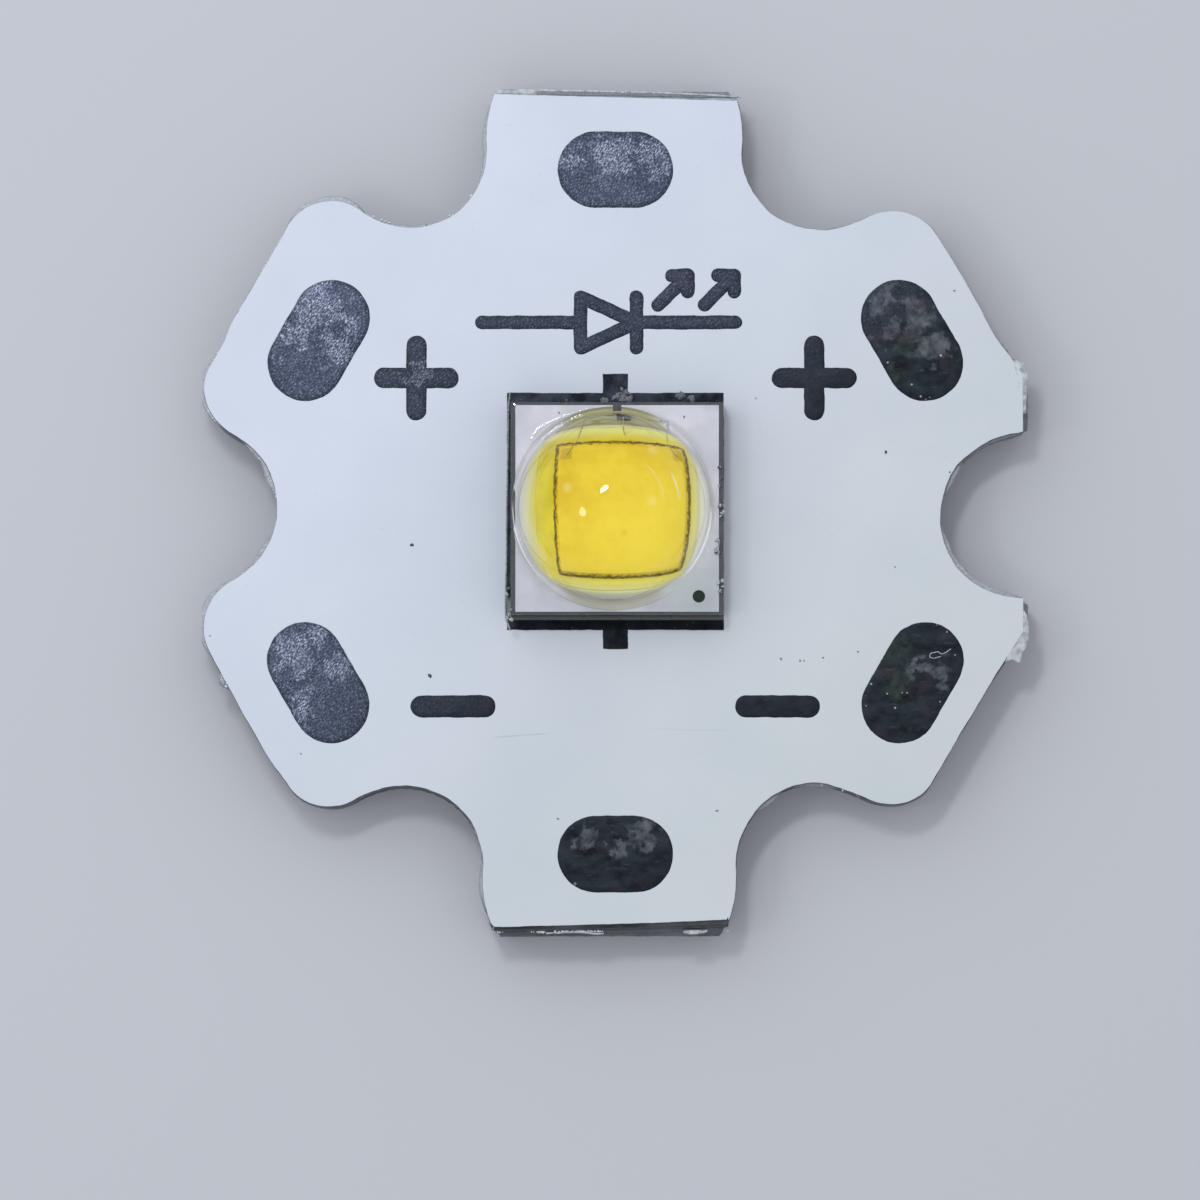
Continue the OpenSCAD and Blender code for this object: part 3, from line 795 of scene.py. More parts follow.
def phosphor_material():
    """Yellow phosphor: warm on the die, greener round it, with a dark line between."""
    look = Look("phosphor", IOR=1.45)
    coated_half = DIE_HALF + PHOSPHOR_T
    die_edge = look.outside(DIE_MIDDLE, coated_half)
    # The sheet pales towards its edges, except to the left, where the painted yellow glow on the
    # metal goes on
    veil = (0.3, 0)
    sheet_edge = look.outside(SHEET_MIDDLE - veil, SHEET_HALF + veil)
    cloud = look.grain(0.5)
    fine = look.grain(0.06, roughness=0.6)
    # Painted light: the die and the sheet round it are brighter towards the lower right
    lit_lower_right = look.light_side(1.8, -1.8)
    on_die = cloud.ramp((0.38, 243, 204, 18), (0.62, 255, 222, 40)).mix(
        lit_lower_right * 0.75, (255, 228, 46))
    beside = cloud.ramp((0.35, 224, 206, 22), (0.65, 242, 226, 46)).mix(
        lit_lower_right * 0.85, (255, 240, 66)).mix(sheet_edge.between(-0.24, 0.0), (240, 238, 136))
    # Painted reflections: pale spots that the dome shows over the die
    for glow_px in ((653, 453), (651, 504), (568, 491)):
        glow = look.far(under_dome(*glow_px), DIE_HIGH[2]).between(0.14, 0.02, 0.0, 0.7)
        on_die = on_die.mix(glow, (255, 232, 128))
    colour = on_die.mix(die_edge.between(-0.02, 0.01), beside)
    # The die's bond areas show as dull squares in its upper corners
    pad = 0.2
    for side in (-1, 1):
        corner = DIE_MIDDLE + (coated_half - PHOSPHOR_T - pad / 2) * (side, 1)
        square = look.outside(corner, (pad / 2, pad / 2)).between(0.02, -0.01)
        colour = colour.mix(square * 0.45, (178, 150, 30))
    # The dark line at the die's rim, uneven in width and depth
    wander = look.grain(0.09).between(0.3, 0.7, -0.009, 0.009)
    line = abs(die_edge + wander).between(0.027, 0.006) * fine.between(0.25, 0.55, 0.5, 1.0)
    # A faint fleck below the middle of the die
    fleck = look.far(under_dome(624, 535), DIE_HIGH[2]).between(0.09, 0.02, 0.0, 0.4)
    colour = colour.mix(line, (112, 84, 0)).mix(fleck, (190, 150, 40))
    return look.done(colour, 0.55, (fine, 0.004))


def silicone_material():
    """Clear silicone: lamps shine through it, and the eye sees it bend light."""
    look = Look("silicone", IOR=1.5)
    # Painted highlights: along these arcs less light goes through, and the silicone's white shows
    # as bright arcs
    painted_arcs = 0.0
    for *where, strength in ((2.31, 0.035, -22, 26, 0.75), (2.35, 0.02, 197, 24, 0.6),
                             (2.46, 0.014, 138, 24, 0.35), (1.55, 0.02, 16, 16, 0.5),
                             (2.1, 0.22, 188, 40, 0.2), (2.1, 0.2, -8, 36, 0.15),
                             (1.19, 0.03, 25, 30, 0.12)):
        painted_arcs = (look.arc(*where) * strength).math("MAXIMUM", painted_arcs)
    clear = node(look.tree, "BsdfTransparent", {"Color": (0.95, 0.96, 0.94, 1)})
    both = node(look.tree, "MixShader", {
        0: node(look.tree, "LightPath", output="Is Shadow Ray"),
        1: Value(look.tree, look.shader.outputs[0]), 2: clear})
    look.tree.links.new(both.socket, look.tree.nodes["Material Output"].inputs["Surface"])
    return look.done((0.985, 0.99, 0.98, 1), 0.0, (look.grain(0.9, detail=1), 0.002),
                     Transmission_Weight=1.0 - painted_arcs)


def grained(name, size, dark, light, rub, end=0.3, detail=3, bumps=(), **sockets):
    """A material of one fine grain between two colours."""
    look = Look(name, **sockets)
    fine = look.grain(size, detail=detail)
    return look.done(fine.ramp((end, *dark), (1 - end, *light)), fine.between(0.3, 0.7, *rub),
                     *((fine, depth) for depth in bumps))


def crumbly(name, dark, light, metallic=0.0, size=0.05):
    return grained(name, size, dark, light, (0.35, 0.65), 0.35, bumps=(0.006,),
                   Metallic=metallic)


LACQUER = lacquer_material()
PAD_TIN = tin_material("pad_tin", 0.0)
MARK_TIN = tin_material("mark_tin", 0.5)
SOLDER = solder_material()
ALUMINIUM = aluminium_material()
INSULATION = insulation_material()
COPPER = grained("copper", 0.1, (176, 112, 82), (206, 142, 108), (0.3, 0.45), Metallic=1.0)
CERAMIC = ceramic_material()
PLATING = grained("gold_plate", 0.08, (205, 186, 130), (228, 210, 156), (0.3, 0.45),
                  Metallic=1.0)
# Painted light: within the dome the silver is brighter, with the light the dome gathers
SILVER = silver_material("silver", (242, 243, 238), (222, 224, 218))
# Painted shade: within the dome the bond metal is darker, and olive
BOND_SILVER = silver_material("bond_silver", (196, 190, 132), (160, 156, 108))
PHOSPHOR = phosphor_material()
SILICON = grained("silicon", 0.03, (52, 52, 58), (76, 76, 84), (0.2, 0.4), detail=2,
                  Metallic=0.3)
GOLD, PALE_GOLD = (
    grained(name, 0.03, (206, 184, 96), (226, 206, 120), (0.2, 0.35), detail=2, Metallic=shine)
    for name, shine in (("gold", 1.0), ("pale_gold", 0.3)))
SILICONE = silicone_material()
TORN_SILICONE = crumbly("torn_silicone", (36, 42, 42), (206, 212, 214))
DIRT = crumbly("dirt", (48, 46, 48), (92, 88, 88))
WHITE_CRUMB = crumbly("lacquer_crumb", (186, 190, 200), (232, 234, 240))
METAL_CRUMB = crumbly("metal_crumb", (150, 154, 162), (222, 226, 232), 0.2)
FAINT_DIRT = crumbly("faint_dirt", (104, 106, 112), (140, 142, 148))
BURR = crumbly("burr", (158, 165, 165), (206, 212, 214), 0.1, size=0.14)
THREAD = crumbly("silicone_thread", (96, 108, 100), (164, 174, 170))
FLUX = crumbly("flux", (84, 88, 94), (138, 142, 146), 0.1)
LINT = crumbly("lint", (156, 162, 166), (206, 210, 214))


# Board

def cut_rings(node, levels, reference):
    """Rings of a star-shaped layer, one for each level of height and inset.

    Every ring has the same number of points between the same two corners. The
    second result is, at each point of a snapped edge, that edge's direction.
    """
    base = runs_of(section(node, reference)[0])
    counts = [len(smooth_line(run, EDGE_SPACING)) - 1 for run in base]
    rings, along = [], []
    for z, cut_z, inset in levels:
        runs = runs_of(section(node, cut_z)[0])
        first = int(np.argmin([np.linalg.norm(run[0] - base[0][0]) for run in runs]))
        runs = runs[first:] + runs[:first]
        loop = np.vstack([smooth_line(run, count=n)[:-1] for run, n in zip(runs, counts)])
        rings.append(ring(loop, z, inset))
    for run, count in zip(base, counts):
        way = run[-1] - run[0]
        along += [way / np.linalg.norm(way) * (len(run) == 2)] * count
    along = np.array(along)
    # The corner after a snapped edge belongs to it too
    ends = ~along.any(1) & np.roll(along.any(1), 1)
    along[ends] = np.roll(along, 1, 0)[ends]
    return rings, along


# The lacquer's outer edge, as even points and the way out at each, and its openings
LACQUER_EDGE, *OPENINGS = section("solder_mask", (COPPER_TOP + BOARD_TOP) / 2)
RIM_LOOP = fine_loop(LACQUER_EDGE, SMALLEST_CORNER)
RIM_OUT = outward(RIM_LOOP)

# Pixels on the rim, and how far outside the lacquer's true arcs it lies there, in
# millimetres: the notches were cut a little out of place
RIM_SHIFTS = (
    # Right notch, from its upper end to its lower one
    (1016, 424, 0.2), (976, 442, 0.18), (949, 472, 0.06), (942, 498, 0.02), (946, 530, -0.1),
    (970, 570, -0.18), (1016, 592, -0.17),
    # Lower right arm and the notch beside it
    (1016, 643, 0.0), (1003, 666, -0.08), (940, 776, -0.1), (917, 802, -0.13), (891, 807, -0.08),
    (854, 791, 0.08), (802, 784, 0.0), (735, 870, 0.02),
    # Notch at the lower left, and that arm
    (489, 880, 0.12), (446, 793, 0.09), (380, 786, 0.08), (345, 804, 0.01), (319, 807, -0.07),
    (295, 794, -0.01), (267, 748, 0.07), (213, 654, 0.05), (204, 629, -0.04), (210, 603, -0.02),
    # Left notch
    (240, 578, 0.09), (281, 510, 0.1), (246, 440, 0.07), (210, 410, -0.03),
    # Upper left arm and the notch beside it
    (208, 370, -0.01), (248, 300, 0.06), (289, 229, 0.05), (312, 211, 0.13), (345, 211, 0.21),
    (384, 231, 0.19), (425, 231, 0.11), (465, 207, 0.05), (489, 150, 0.04),
    # Notch at the upper right, and that arm
    (733, 115, 0.18), (742, 185, 0.15), (787, 228, 0.11), (852, 226, 0.07), (889, 208, -0.06),
    (915, 212, -0.11), (937, 234, 0.01), (975, 300, 0.02), (998, 335, -0.04), (1014, 362, 0.09),
)
# The same for the snapped edges: at both ends of the upper one and of the lower one, and
# at the right tips
EDGE_X = (-2.8, 2.8)
UPPER_SHIFT = (0.02, -0.04)
LOWER_SHIFT = (0.01, -0.14)
TIP_SHIFT = 0.06


def shift(flat):
    """How far out of its true place the rim lies at each point of an outline."""
    reach = 0.6
    spots = np.array([at(px, py) for px, py, _ in RIM_SHIFTS])
    far = np.linalg.norm(flat[:, None] - spots, axis=2)
    weight = np.exp(-((far / reach) ** 2)) + 1e-9
    return (weight * [amount for *_, amount in RIM_SHIFTS]).sum(1) / weight.sum(1)


def slid(flat, step, scored, way, across=(0, 0)):
    """Steps along snapped edges that keep their ends on the walls beside them.

    They fade out away from the ends. The edges themselves may also move across.
    """
    fade, least = 0.6, 0.1
    free = np.flatnonzero(~scored)
    far = np.linalg.norm(flat[scored][:, None] - flat[free], axis=2)
    beside = free[far.argmin(1)]
    normal = outward(flat)[beside]
    amount = ((step[beside] - across) * normal).sum(1)
    facing = (normal * way).sum(1)
    slide = amount * facing / np.maximum(facing**2, least)
    share = np.clip(1 - far.min(1) / fade, 0, 1)
    return way * (slide * share)[:, None]


def rim_step(loop, slack):
    """Step of each point of the lacquer's rim from its true place to the photograph's."""
    slant, close = 0.11, 0.02
    step = outward(loop) * (shift(loop) + slack)[:, None]
    low, high = loop.min(0), loop.max(0)
    upper, lower = loop[:, 1] > high[1] - slant, loop[:, 1] < low[1] + slant
    tip = loop[:, 0] > high[0] - close
    step[upper, 1] = np.interp(loop[upper, 0], EDGE_X, UPPER_SHIFT) + slack
    step[lower, 1] = -np.interp(loop[lower, 0], EDGE_X, LOWER_SHIFT) - slack
    across = (TIP_SHIFT + slack, 0)
    step[tip] = slid(loop, step, tip, np.array([(0.0, 1.0)]), across) + across
    return step


def to_the_rim(flat, along):
    """Step of each point of a lower layer to the rim.

    Points on a snapped edge only move along it.
    """
    nearest = np.linalg.norm(flat[:, None] - RIM_LOOP, axis=2).argmin(1)
    beyond = ((flat - RIM_LOOP[nearest]) * RIM_OUT[nearest]).sum(1)
    step = outward(flat) * (shift(flat) + BOARD_RIM - beyond)[:, None]
    scored = along.any(1)
    step[scored] = slid(flat, step, scored, along[scored])
    return step


# Stretches of the wall that bulge out under the lacquer: pixel of the middle, half the
# length in pixels, and the bulge in millimetres
BULGES = (
    (310, 208, 20, 0.11), (334, 200, 26, 0.13), (411, 228, 24, 0.08), (488, 145, 34, 0.08),
    (274, 473, 20, 0.12), (260, 451, 16, 0.08), (268, 552, 16, 0.13), (252, 571, 14, 0.06),
    (205, 388, 32, 0.1), (206, 612, 34, 0.13), (226, 680, 6, 0.14), (489, 885, 22, 0.08),
    (952, 547, 20, 0.1), (970, 568, 28, 0.13), (998, 586, 26, 0.12), (948, 474, 16, 0.12),
    (815, 782, 18, 0.07), (766, 801, 14, 0.1), (820, 230, 50, 0.05), (250, 270, 50, 0.03),
    (1021, 617, 18, 0.04), (985, 434, 34, 0.05),
)


def bulge(flat):
    """How far the wall bulges out at each point of an outline."""
    out = np.zeros(len(flat))
    for px, py, half, depth in BULGES:
        far = np.linalg.norm(flat - at(px, py), axis=1) * PX_PER_MM / half
        out = np.maximum(out, depth * np.clip(1.3 - far, 0, 1) ** 0.5)
    return out * (1 + 0.25 * rough(flat, 0.25, 12.0))


def board_metal():
    """The aluminium: rounded below, grooved and snapped at its scored edges."""
    levels = [(z, max(z, TINY), inset) for inset, z in quarter(BOARD_EDGE_R, 0, 30, 60, 90)]
    levels += [(z, z, 0.0) for z in (0.15, 0.3, 0.45, SCORE_TOP, 0.66, 0.78, 0.9, 1.0,
                                     BOARD_TOP - SCORE_TOP, 1.2, 1.3, 1.4)]
    levels.append((BASE_TOP, BASE_TOP - TINY, 0.0))
    rings, along = cut_rings("aluminium_base", levels, 0.8)
    scored = along.any(1)
    outline = rings[len(rings) // 2][:, :2]
    step = to_the_rim(outline, along)
    out = np.where(scored, 0, bulge(outline + step))
    for points in rings:
        z = points[0][2]
        points[:, :2] += step
        flat = points[:, :2]
        web = SCORE_TOP - 0.02 < z < BOARD_TOP - SCORE_TOP + 0.02
        torn = (1 + rough(points, 0.14, 5.0) + 0.6 * rough(points, 0.05, 9.0)) / 2
        milled = (1 + rough(np.column_stack([flat, flat[:, 0] * 0 + z * 0.1]), 0.1, 2.0)) / 2
        scored_rough = (WEB_ROUGH if web else GROOVE_ROUGH) * np.clip(torn, 0, 1.4)
        inset = np.where(scored, scored_rough, WALL_ROUGH * milled)
        # The bulge grows up the wall and eases off near its top
        high = np.clip((z - 0.5) / 0.6, 0, 1) * (1 - 0.35 * np.clip((z - 1.3) / 0.2, 0, 1))
        points[:, :2] += outward(flat) * (out * high - inset)[:, None]
        points[:, 0] = np.clip(points[:, 0], CAD_LOW[0], CAD_HIGH[0])
    made = layered("board_metal", [rings], ALUMINIUM, slot="aluminium",
                   replaces=["aluminium_base"])
    spots = points_of(made)
    lip = bulge(spots[:, :2]) / 0.1 * (spots[:, 2] > SCORE_TOP)
    marked(made, LIP, np.minimum(lip, 1.0))


def board_insulation():
    """The insulating layer, its upper edge rounded and smeared by the cutter."""
    levels = [(BASE_TOP, BASE_TOP + TINY, 0.0)]
    for down, inset in quarter(INSULATION_EDGE_R, 0, 25, 50, 70, 90):
        z = INSULATION_TOP - down
        levels.append((z, min(z, INSULATION_TOP - TINY), inset))
    rings, along = cut_rings("dielectric_layer", levels, BASE_TOP + 0.04)
    step = to_the_rim(rings[0][:, :2], along)
    for points in rings:
        points[:, :2] += step
        flat = points[:, :2]
        uneven = 0.002 + 0.008 * (1 + rough(flat, 0.3, 4.0)) / 2
        uneven += 0.005 * np.clip(rough(flat, 0.08, 7.0), 0, 1)
        points[:, :2] -= outward(flat) * uneven[:, None]
    layered("board_insulation", [rings], INSULATION, slot="dielectric",
            replaces=["dielectric_layer"])


def lacquer():
    """The white lacquer with softly rounded edges and slightly ragged outlines."""
    stacks = []
    for loop, ragged, foot in [(RIM_LOOP, 1.0, INSULATION_TOP)] + [
            (fine_loop(loop), OPENING_RAGGED, COPPER_TOP) for loop in OPENINGS]:
        uneven = 0.008 * rough(loop, 0.25, 1.0) + 0.004 * rough(loop, 0.07, 3.0)
        step = outward(loop) * (uneven * ragged)[:, None]
        if not stacks:
            step += rim_step(loop, LACQUER_RIM)
        loop = loop + step
        stacks.append([ring(loop, foot)] + [ring(loop, BOARD_TOP - down, inset)
                       for down, inset in quarter(LACQUER_EDGE_R, 0, 30, 60, 90)])
    layered("white_lacquer", stacks, LACQUER, slot="white_lacquer", replaces=["solder_mask"])


def tinned(name, material):
    """A tinned area: a skin of tin whose surface is gently uneven."""
    grid, offset, sink, lip = 0.07, 0.013, 0.004, 0.035

    def height(p):
        uneven = 0.004 * swell(p, 0.5, 3.0) + 0.003 * swell(p, 0.16, 8.0)
        return min(TIN_TOP + 0.004 + uneven, BOARD_TOP - 0.001)

    def inset(p):
        return np.linalg.norm(edge - p, axis=1).min()

    loops = [fine_loop(loop) for loop in section(name, (COPPER_TOP + TIN_TOP) / 2)]
    stacks = [[ring(loop, COPPER_TOP, -TIN_UNDER), ring(loop, TIN_TOP - sink, -TIN_UNDER),
               ring(loop, TIN_TOP - sink / 4, lip)] for loop in loops]
    edge = np.vstack(loops)
    low, high = edge.min(0) + offset, edge.max(0)
    inner = [np.array([x, y]) for x in np.arange(low[0], high[0], grid)
             for y in np.arange(low[1], high[1], grid)]
    made = layered(name + "_skin", stacks, material, slot="tin", replaces=[name],
                   inner=[p for p in inner if inset(p) > grid], height=height)
    marked(made, RIM, [inset(p) for p in points_of(made)[:, :2]])


# Package

def lens():
    """Dome, collar and skin in one smooth turned shape, cut square at the ceramic."""
    count, fillet, round_r, edge_r = 384, 0.07, 0.07, 0.03
    middle = DOME_MIDDLE
    collar_top = CERAMIC_TOP + COLLAR_H
    skin_top = METAL_TOP + SKIN_T
    low, high = CERAMIC_LOW[:2] - middle, CERAMIC_HIGH[:2] - middle
    # Half a step on, so that none points straight along an axis
    angles = (np.arange(count) + 0.5) * 2 * math.pi / count
    for x in (low[0], high[0]):
        for y in (low[1], high[1]):
            angle = math.atan2(y, x) % (2 * math.pi)
            angles[int(np.argmin(abs(angles - angle)))] = angle
    aim = np.column_stack([np.cos(angles), np.sin(angles)])
    reach = np.minimum(np.where(aim[:, 0] > 0, high[0], low[0]) / aim[:, 0],
                       np.where(aim[:, 1] > 0, high[1], low[1]) / aim[:, 1])

    def level(r, z):
        return np.column_stack([middle + aim * np.reshape(r, (-1, 1)), np.full(count, z)])

    # The turned part, from the top of the dome to the foot of the collar
    last = math.acos((collar_top + fillet - METAL_TOP) / DOME_R)
    turned = [(DOME_FOOT_R * math.sin(a), METAL_TOP + DOME_R * math.cos(a))
              for a in last * (np.arange(1, 73) / 72)]
    foot = turned[-1][0]
    turned += [(foot + out, collar_top + up) for up, out in quarter(fillet, 15, 30, 45, 60, 75, 90)]
    last = math.acos((skin_top - collar_top + round_r) / round_r)
    turned += [(COLLAR_R - inset, collar_top - down)
               for inset, down in quarter(round_r, *np.degrees(np.linspace(0, last, 8)))]
    rings = [level(r, z) for r, z in turned]
    # The skin, not quite flat, runs on to the ceramic's edges, rounded and cut down there
    last_r = turned[-1][0]
    skin = [level(last_r + (reach - edge_r - last_r) * share, skin_top)
            for share in (0.25, 0.5, 0.75)]
    skin += [level(reach - inset, skin_top - down)
             for inset, down in quarter(edge_r, 0, 30, 60, 90)]
    for points in skin:
        points[:, 2] += 0.006 * rough(points[:, :2], 0.5, 2.0)
    foot_z = CERAMIC_TOP - 0.01
    rings += skin + [level(reach, foot_z)]
    points = np.vstack([[*middle, LENS_TOP], *rings, [*middle, foot_z]])
    end = len(points) - 1
    faces = [(0, 1 + i, 1 + (i + 1) % count) for i in range(count)]
    faces += [(face[0], *face[:0:-1]) for face in walls(1, len(rings), count)]
    faces += [(end, end - count + (i + 1) % count, end - count + i) for i in range(count)]
    piece("lens", points, faces, SILICONE, slot="silicone", replaces=["silicone_lens"])


def phosphor():
    """The phosphor as one sheet: raised on the die, grooved at its rim, thin at its edges."""
    cells = 150
    # Widths of the slope at the die's rim and of the thin border
    slope_w, border_w = 0.035, 0.12
    # How far in from the rim the groove lies, half its width, and its depth
    groove_in, groove_w, groove_d = 0.06, 0.02, 0.014
    uneven = 0.006
    low, high = PHOSPHOR_LOW, PHOSPHOR_HIGH
    rows, columns = np.indices((cells + 1, cells + 1)) / cells
    flat = low[:2] + (high - low)[:2] * np.column_stack([columns.ravel(), rows.ravel()])
    die_edge = (abs(flat - DIE_MIDDLE) - (DIE_HALF + PHOSPHOR_T)).max(1)
    sheet_edge = np.hstack([flat - low[:2], high[:2] - flat]).min(1)
    raised = np.clip(-die_edge / slope_w, 0, 1)
    raised = raised * raised * (3 - 2 * raised)
    sheet = low[2] + PHOSPHOR_T * (0.25 + 0.75 * np.clip(sheet_edge / border_w, 0, 1))
    groove = np.maximum(0.0, 1 - abs(die_edge + groove_in) / groove_w)
    z = sheet + (high[2] - sheet) * raised - groove_d * groove
    z -= uneven * (1 + np.array([swell(p, 0.12, 4.0) for p in flat])) / 2
    grid = np.arange(len(flat)).reshape(cells + 1, cells + 1)
    faces = np.stack([grid[:-1, :-1], grid[:-1, 1:], grid[1:, 1:], grid[1:, :-1]], 2)
    rim = [*grid[0, :-1], *grid[:-1, -1], *grid[-1, :0:-1], *grid[:0:-1, 0]]
    start, count = len(flat), len(rim)
    points = np.vstack([np.column_stack([flat, z]),
                        np.column_stack([flat[rim], np.full(count, low[2])])])
    faces = faces.reshape(-1, 4).tolist()
    faces += [(rim[(i + 1) % count], rim[i], start + i, start + (i + 1) % count)
              for i in range(count)]
    faces.append(tuple(range(start, start + count))[::-1])
    piece("phosphor", points, faces, PHOSPHOR, slot="phosphor", replaces=["phosphor_layer"])


def bond_wire(name, lean, material):
    """A gold wire, from the chip up, over in a loop and down to the metal."""
    steps, bunching, least_rise = 28, 1.3, 0.02
    low, high = mm_box(name)
    x = (low[0] + high[0]) / 2
    start_y, end_y = low[1] + WIRE_R, high[1] - WIRE_R
    chip_top = DIE_HIGH[2]
    if name == "esd_wire":
        start_y, end_y, chip_top = end_y, start_y, top_of("esd_diode")
    top = high[2] - WIRE_R
    path = []
    for t in np.linspace(0, 1, steps):
        start_z, rise = METAL_TOP, math.cos(math.pi * (t - 0.5))
        if t < 0.5:
            start_z, rise = chip_top, math.sin(math.pi * min(t / 0.75, 1.0) / 2)
        path.append((x + lean * t * t, start_y + (end_y - start_y) * t**bunching,
                     start_z + (top - start_z) * max(rise, least_rise)))
    tube(name + "_gold", np.array(path), WIRE_R, material, slot="gold", replaces=[name])


# Pixels of the torn bits of silicone, their spread along the edge and their count
TORN = ((721, 512, 7, 9), (717, 549, 7, 12), (720, 588, 7, 8), (509, 606, 22, 8),
        (720, 470, 20, 3))


def flash():
    """Torn bits of silicone along the edges of the ceramic."""
    spots = []
    source = random.Random(5)
    for px, py, spread, count in TORN:
        for _ in range(count):
            x, y = at(px + source.uniform(-2.5, 2.5), py + source.uniform(-spread, spread))
            size = source.uniform(0.02, 0.06)
            spots.append(((x, y, METAL_TOP + 0.05), size, source.uniform(0.5, 0.9)))
    lumps("silicone_flash", spots, TORN_SILICONE, slot="silicone")


# Dirt and burrs

# Pixels of the dust and its sizes in pixels
DARK_DUST = ((412, 545, 2.1), (430, 676, 2.3), (886, 452, 1.7), (950, 472, 1.1),
             (823, 658, 1.0), (858, 652, 1.0), (559, 415, 1.0), (684, 419, 1.0))
FAINT_DUST = ((955, 290, 1.3), (781, 659, 1.4), (800, 661, 1.2), (804, 661, 1.0),
              (717, 811, 1.4), (558, 819, 1.3), (301, 754, 1.1), (756, 398, 0.9),
              (210, 636, 0.9), (895, 567, 1.0))


def specks(name, dust_and_glow, material):
    """Dust on the lacquer and the package, where the photograph shows it."""
    spots = []
    for px, py, radius in dust_and_glow:
        x, y = at(px, py)
        on_package = (CERAMIC_LOW[:2] < (x, y)).all() and (CERAMIC_HIGH[:2] > (x, y)).all()
        z = METAL_TOP + SKIN_T if on_package else BOARD_TOP
        spots.append(((x, y, z), radius / PX_PER_MM, 0.5))
    lumps(name, spots, material)


# Stretches with crumbs: pixels of both ends, count and size in pixels, and the height
# where they lie on a snapped edge and not on the rim
CRUMBLED = (
    (372, 216, 408, 229, 22, 1.8), (420, 226, 460, 222, 14, 1.8), (466, 205, 476, 192, 8, 1.8),
    (580, 89, 584, 89, 3, 1.5, 1.54), (618, 90, 640, 91, 9, 1.7, 1.54),
    (652, 91, 658, 91, 4, 1.4, 1.54), (498, 931.5, 504, 931.5, 5, 1.6, 1.44),
    (528, 931.5, 546, 932, 12, 1.6, 1.44), (552, 931.5, 604, 931, 34, 1.9, 1.45),
    (686, 931, 708, 931, 12, 1.5, 1.46), (724, 920, 728, 932, 8, 1.8, 1.45),
    (262, 470, 272, 500, 8, 1.4), (218, 678, 226, 688, 10, 2.0), (1015, 352, 1029, 372, 4, 1.2),
    (483, 180, 486, 140, 6, 1.2), (258, 240, 240, 275, 6, 1.2), (820, 786, 868, 802, 10, 1.2),
    (250, 258, 262, 244, 6, 1.4), (497, 925, 500, 931, 4, 1.4),
)


def crumbs():
    """White and bright crumbs where the board was cut and snapped."""
    source = random.Random(11)
    rim = RIM_LOOP + rim_step(RIM_LOOP, BOARD_RIM)
    white, metal = [], []
    for ax, ay, bx, by, count, radius, *height in CRUMBLED:
        for _ in range(count):
            place = at(ax, ay) + (at(bx, by) - at(ax, ay)) * source.random()
            nearest = int(np.argmin(np.linalg.norm(rim - place, axis=1)))
            size = radius / PX_PER_MM * source.uniform(0.4, 1.0)
            beside = rim[nearest] + RIM_OUT[nearest] * source.uniform(-0.08, 0.04)
            z = BASE_TOP + source.uniform(-0.02, 0.07)
            if height:
                beside, z = place, height[0]
            x, y = np.clip(beside, CAD_LOW[:2] + 1.1 * size, CAD_HIGH[:2] - 1.1 * size)
            (white if source.random() < 0.65 else metal).append(((x, y, z), size, 0.6))
    lumps("lacquer_crumbs", white, WHITE_CRUMB, slot="white_lacquer")
    lumps("metal_crumbs", metal, METAL_CRUMB, slot="aluminium")


def flap(name, low, high, *corners_px):
    """A thin torn tongue, from its outline in pixels, that slopes from left to right."""
    thick, spacing = 0.06, 0.03
    corners = np.array([at(*c) for c in corners_px])
    ahead = np.roll(corners, -1, 0)
    if (corners[:, 0] * ahead[:, 1] - corners[:, 1] * ahead[:, 0]).sum() < 0:
        corners = corners[::-1]
    parts = []
    for p, q in zip(corners, np.roll(corners, -1, 0)):
        steps = max(1, round(np.linalg.norm(q - p) / spacing))
        parts.append(p + (q - p) * np.arange(steps)[:, None] / steps)
    loop = np.vstack(parts)
    loop = loop + outward(loop) * (0.01 * rough(loop, 0.07, 21.0))[:, None]
    loop = np.clip(loop, CAD_LOW[:2], CAD_HIGH[:2])
    share = (loop[:, 0] - loop[:, 0].min()) / np.ptp(loop[:, 0])
    top = low + (high - low) * share + 0.015 * rough(loop, 0.12, 30.0)
    rings = [ring(loop, top - thick), ring(loop, top - 0.012), ring(loop, top, 0.008)]
    layered(name, [rings], BURR, smooth_top=True, slot="aluminium")


def thread(name, ways, height, radius, material, spacing=0.05, wander=0.0, wave=0.0, **options):
    """A fine thread through the pixels of its way."""
    flat = smooth_line(np.array([at(*p) for p in ways]), spacing)
    flat = flat + wander * np.column_stack([rough(flat, 0.15, seed) for seed in (41.0, 47.0)])
    flat[:, 0] = np.minimum(flat[:, 0], CAD_HIGH[0] - 0.03)
    lift = height + wave * np.sin(np.linspace(0, 5, len(flat)))
    tube(name, np.column_stack([flat, lift]), radius, material, sides=8, **options)


